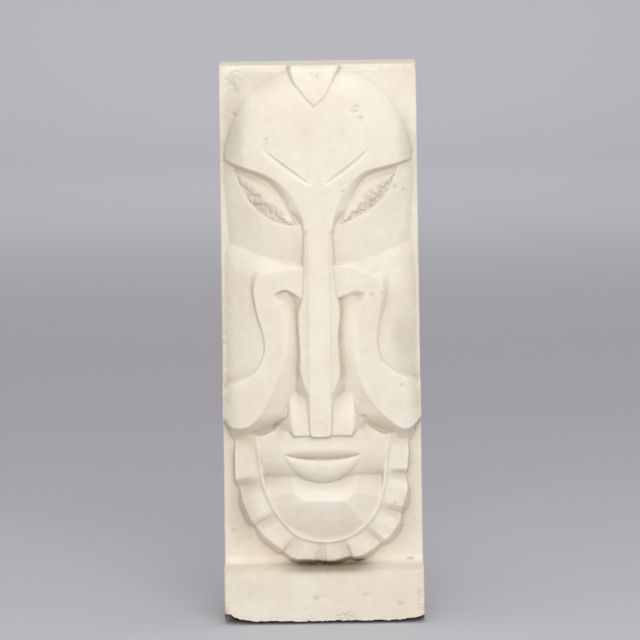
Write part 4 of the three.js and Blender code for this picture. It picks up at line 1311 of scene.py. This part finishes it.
@dataclass(frozen=True)
class Sandstone:
    """Fine pale sandstone, rubbed after the chisel: matt, faintly sparkling, cream with warm clouds."""

    name: str = "rubbed_cream_sandstone"
    cream: str = "#e3dacb"
    warm: str = "#ddd1bd"
    # Grey tone for the painted shade in hollows.
    hollow_shade_tone: str = "#bfb5a2"
    # Dark brown for brown stains and the painted shadow under the ruff and the base.
    stain_and_shadow_brown: str = "#6f5736"
    worn: str = "#cfc5b3"
    speck: str = "#b9ab92"
    # Pale tone for painted highlights and rubbed wear.
    lit_and_rubbed: str = "#f0e9dd"
    # Tint multiplied in for the painted shade in broad recesses.
    recess_shade_tint: str = "#e2e0dc"
    cloud_mm: float = 55.0
    mottle_mm: float = 9.0
    grain_mm: float = 0.9
    pick_mm: float = 2.4
    speck_mm: float = 2.4
    roughness: float = 0.92

    def material(self) -> bpy.types.Material:
        """Makes the stone's material."""
        made = bpy.data.materials.new(self.name)
        made.use_nodes = True
        made.node_tree.nodes.clear()
        output = add_node(made, "ShaderNodeOutputMaterial")
        place = add_node(made, "ShaderNodeTexCoord").outputs["Object"]
        base = linear(self.cream)
        for tone, size_mm, detail, rough, span, most in (
            (self.warm, self.cloud_mm, 4.0, 0.55, (0.35, 0.7), 1.0),
            (self.worn, self.mottle_mm, 5.0, 0.65, (0.45, 0.75), 0.35),
            (self.speck, self.speck_mm, 2.0, 0.5, (0.68, 0.78), 0.5),
        ):
            noise = add_node(
                made, "ShaderNodeTexNoise",
                {"Scale": 1.0 / (size_mm * MILLIMETRE), "Detail": detail, "Roughness": rough},
                {"Vector": place},
            )
            share = add_node(
                made, "ShaderNodeMapRange", {"From Min": span[0], "From Max": span[1], "To Max": most},
                {"Value": noise.outputs["Fac"]},
            )
            base = self.blend(made, share.outputs[0], base, linear(tone))
        # Painted highlight with rubbed wear on proud edges, stroke lips and the lightened patches.
        base = self.painted(made, "proud_highlight", 0.5, base, linear(self.lit_and_rubbed))
        # Painted shade in broad recesses and in the shaded patches, multiplied into the colour.
        base = self.painted(made, "recess_shade", 1.0, base, linear(self.recess_shade_tint), "MULTIPLY")
        # Painted shade in hollows and around pits.
        base = self.painted(made, "hollow_shade", 0.6, base, linear(self.hollow_shade_tone))
        # Painted shadow under the ruff and in the gap under the base, with brown stains.
        base = self.painted(made, "stain_and_shadow", 0.85, base, linear(self.stain_and_shadow_brown))
        shader = add_node(
            made, "ShaderNodeBsdfPrincipled", {"Roughness": self.roughness, "IOR": 1.5},
            {"Base Color": base, "Normal": self.grain(made, place)},
        )
        made.node_tree.links.new(shader.outputs[0], output.inputs["Surface"])
        return made

    def painted(
        self, made: bpy.types.Material, name: str, most: float, low: object, high: object, how: str = "MIX"
    ) -> bpy.types.NodeSocket:
        """Blends two colours by what the mesh stores for each point.

        Args:
            made: The material.
            name: The stored attribute's name.
            most: The share where the attribute is one.
            low: The colour where the attribute is nothing.
            high: The colour that is blended in.
            how: The way of blending.

        Returns:
            The blended colour's socket.
        """
        stored = add_node(made, "ShaderNodeAttribute", {"attribute_name": name})
        share = add_node(
            made, "ShaderNodeMath", {"operation": "MULTIPLY", 1: most}, {0: stored.outputs["Fac"]}
        )
        return self.blend(made, share.outputs[0], low, high, how)

    def blend(
        self, made: bpy.types.Material, share: bpy.types.NodeSocket, low: object, high: object,
        how: str = "MIX",
    ) -> bpy.types.NodeSocket:
        """Blends two colours, each a socket or a value, by a share.

        Args:
            made: The material.
            share: The share's socket.
            low: The colour where the share is nothing.
            high: The colour where the share is one.
            how: The way of blending.

        Returns:
            The blended colour's socket.
        """
        node = add_node(made, "ShaderNodeMix", {"data_type": "RGBA", "blend_type": how})
        made.node_tree.links.new(share, node.inputs[0])
        for index, colour in ((6, low), (7, high)):
            if isinstance(colour, bpy.types.NodeSocket):
                made.node_tree.links.new(colour, node.inputs[index])
            else:
                node.inputs[index].default_value = colour
        return node.outputs[2]

    def grain(self, made: bpy.types.Material, place: bpy.types.NodeSocket) -> bpy.types.NodeSocket:
        """The stone's fine grain as a bump."""
        fine = add_node(
            made, "ShaderNodeTexNoise",
            {"Scale": 1.0 / (self.grain_mm * MILLIMETRE), "Detail": 3.0}, {"Vector": place},
        )
        bump = add_node(
            made, "ShaderNodeBump", {"Strength": 0.45, "Distance": 0.25 * MILLIMETRE},
            {"Height": fine.outputs["Fac"]},
        )
        chips = add_node(
            made, "ShaderNodeTexVoronoi", {"Scale": 1.0 / (self.pick_mm * MILLIMETRE)}, {"Vector": place}
        )
        picked = add_node(made, "ShaderNodeAttribute", {"attribute_name": "picked"})
        depth = add_node(
            made, "ShaderNodeMath", {"operation": "MULTIPLY"},
            {0: chips.outputs["Distance"], 1: picked.outputs["Fac"]},
        )
        rough = add_node(
            made, "ShaderNodeBump", {"Strength": 1.0, "Distance": 1.5 * MILLIMETRE},
            {"Height": depth.outputs[0], "Normal": bump.outputs[0]},
        )
        return rough.outputs[0]


@dataclass(frozen=True)
class Lamp:
    """A square soft light that looks at the mask, or at another target."""

    name: str
    place: tuple[float, float, float]
    size: float
    power: float
    target: tuple[float, float, float] = (0.0, 0.0, 0.32)

    def build(self) -> None:
        """Makes the light."""
        data = bpy.data.lights.new(self.name, "AREA")
        data.size = self.size
        data.energy = self.power
        made = bpy.data.objects.new(self.name, data)
        made.location = self.place
        look = Vector(self.target) - Vector(self.place)
        made.rotation_euler = look.to_track_quat("-Z", "Y").to_euler()
        bpy.context.collection.objects.link(made)


@dataclass
class Studio:
    """A pale sweep, soft lights and the photograph's camera."""

    floor_colour: str = "#bbbabf"
    lamps: tuple[Lamp, ...] = (
        Lamp("key", (0.3, -2.3, 1.15), 1.5, 34.0),
        Lamp("front_fill", (-0.8, -2.6, 0.5), 2.2, 10.0),
        Lamp("top_light", (0.0, -0.45, 2.6), 1.6, 14.5),
        Lamp("backdrop_light", (0.0, 5.0, 3.0), 2.5, 48.0, (0.0, 7.0, 0.7)),
    )
    sweep_width: float = 14.0
    sweep_front: float = -5.5
    sweep_start: float = 6.0
    sweep_radius: float = 0.9
    sweep_top: float = 4.0
    look_at: tuple[float, float, float] = (-0.0007, -0.0175, 0.304)
    distance: float = 4.5
    elevation: float = 6.5
    roll: float = 0.8
    lens: float = 250.9
    air_colour: tuple[float, float, float, float] = (0.97, 0.98, 1.0, 1.0)
    air_strength: float = 0.56

    def build(self) -> None:
        """Makes the sweep, the lights and the camera."""
        self.sweep()
        self.camera()
        for lamp in self.lamps:
            lamp.build()
        world = bpy.data.worlds.new("studio_air")
        world.use_nodes = True
        air = world.node_tree.nodes["Background"]
        air.inputs["Color"].default_value = self.air_colour
        air.inputs["Strength"].default_value = self.air_strength
        bpy.context.scene.world = world
        bpy.context.scene.view_settings.view_transform = "Standard"

    def sweep(self) -> None:
        """A floor that curves up into a backdrop."""
        bpy.ops.object.select_all(action="DESELECT")
        bpy.ops.mesh.primitive_plane_add(size=1.0, location=(0, 0, 0))
        sheet = bpy.context.object
        sheet.name = "studio_sweep"
        half = self.sweep_width / 2.0
        profile = [(self.sweep_front, 0.0), (self.sweep_start, 0.0)]
        for step in range(1, 13):
            angle = math.pi / 2.0 * step / 12.0
            profile.append((
                self.sweep_start + self.sweep_radius * math.sin(angle),
                self.sweep_radius * (1.0 - math.cos(angle)),
            ))
        profile.append((profile[-1][0], self.sweep_top))
        points = [(side * half, y, z) for y, z in profile for side in (-1, 1)]
        faces = [(2 * i, 2 * i + 1, 2 * i + 3, 2 * i + 2) for i in range(len(profile) - 1)]
        sheet.data.clear_geometry()
        sheet.data.from_pydata(points, [], faces)
        bpy.ops.object.shade_smooth()
        finish = bpy.data.materials.new("grey_paper")
        finish.use_nodes = True
        shader = finish.node_tree.nodes["Principled BSDF"]
        shader.inputs["Base Color"].default_value = linear(self.floor_colour)
        shader.inputs["Roughness"].default_value = 0.85
        sheet.data.materials.append(finish)
        sheet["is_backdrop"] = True

    def camera(self) -> None:
        """The camera at the photograph's place, a little turned about its own axis."""
        up, turn = math.radians(self.elevation), math.radians(self.roll)
        away = Vector((0.0, -math.cos(up), math.sin(up)))
        right = Vector((1.0, 0.0, 0.0))
        over = Vector((0.0, math.sin(up), math.cos(up)))
        level_right = right * math.cos(turn) - over * math.sin(turn)
        level_up = over * math.cos(turn) + right * math.sin(turn)
        data = bpy.data.cameras.new("photograph")
        data.lens = self.lens
        data.sensor_width = 36.0
        data.clip_end = 30.0
        made = bpy.data.objects.new("photograph", data)
        turned = Matrix((level_right, level_up, away)).transposed().to_4x4()
        made.matrix_world = Matrix.Translation(Vector(self.look_at) + away * self.distance) @ turned
        bpy.context.collection.objects.link(made)
        bpy.context.scene.camera = made


def main() -> None:
    """Loads the frame, carves and dresses the block, and sets the studio around it."""
    logging.basicConfig(level=logging.INFO, format="%(message)s")
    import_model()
    cad_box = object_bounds()
    Studio().build()
    low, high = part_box(NODE)
    piece = CarvedBlock(MaskRelief(), low, high).build()
    piece.data.materials.append(Sandstone().material())
    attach(piece, BODY)
    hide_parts(NODE)
    log.info("%s: %d points, %d faces", piece.name, len(piece.data.vertices), len(piece.data.polygons))
    boxes = {"cad": [list(corner) for corner in cad_box], "visual": [list(corner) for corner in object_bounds()]}


if __name__ == "__main__":
    main()
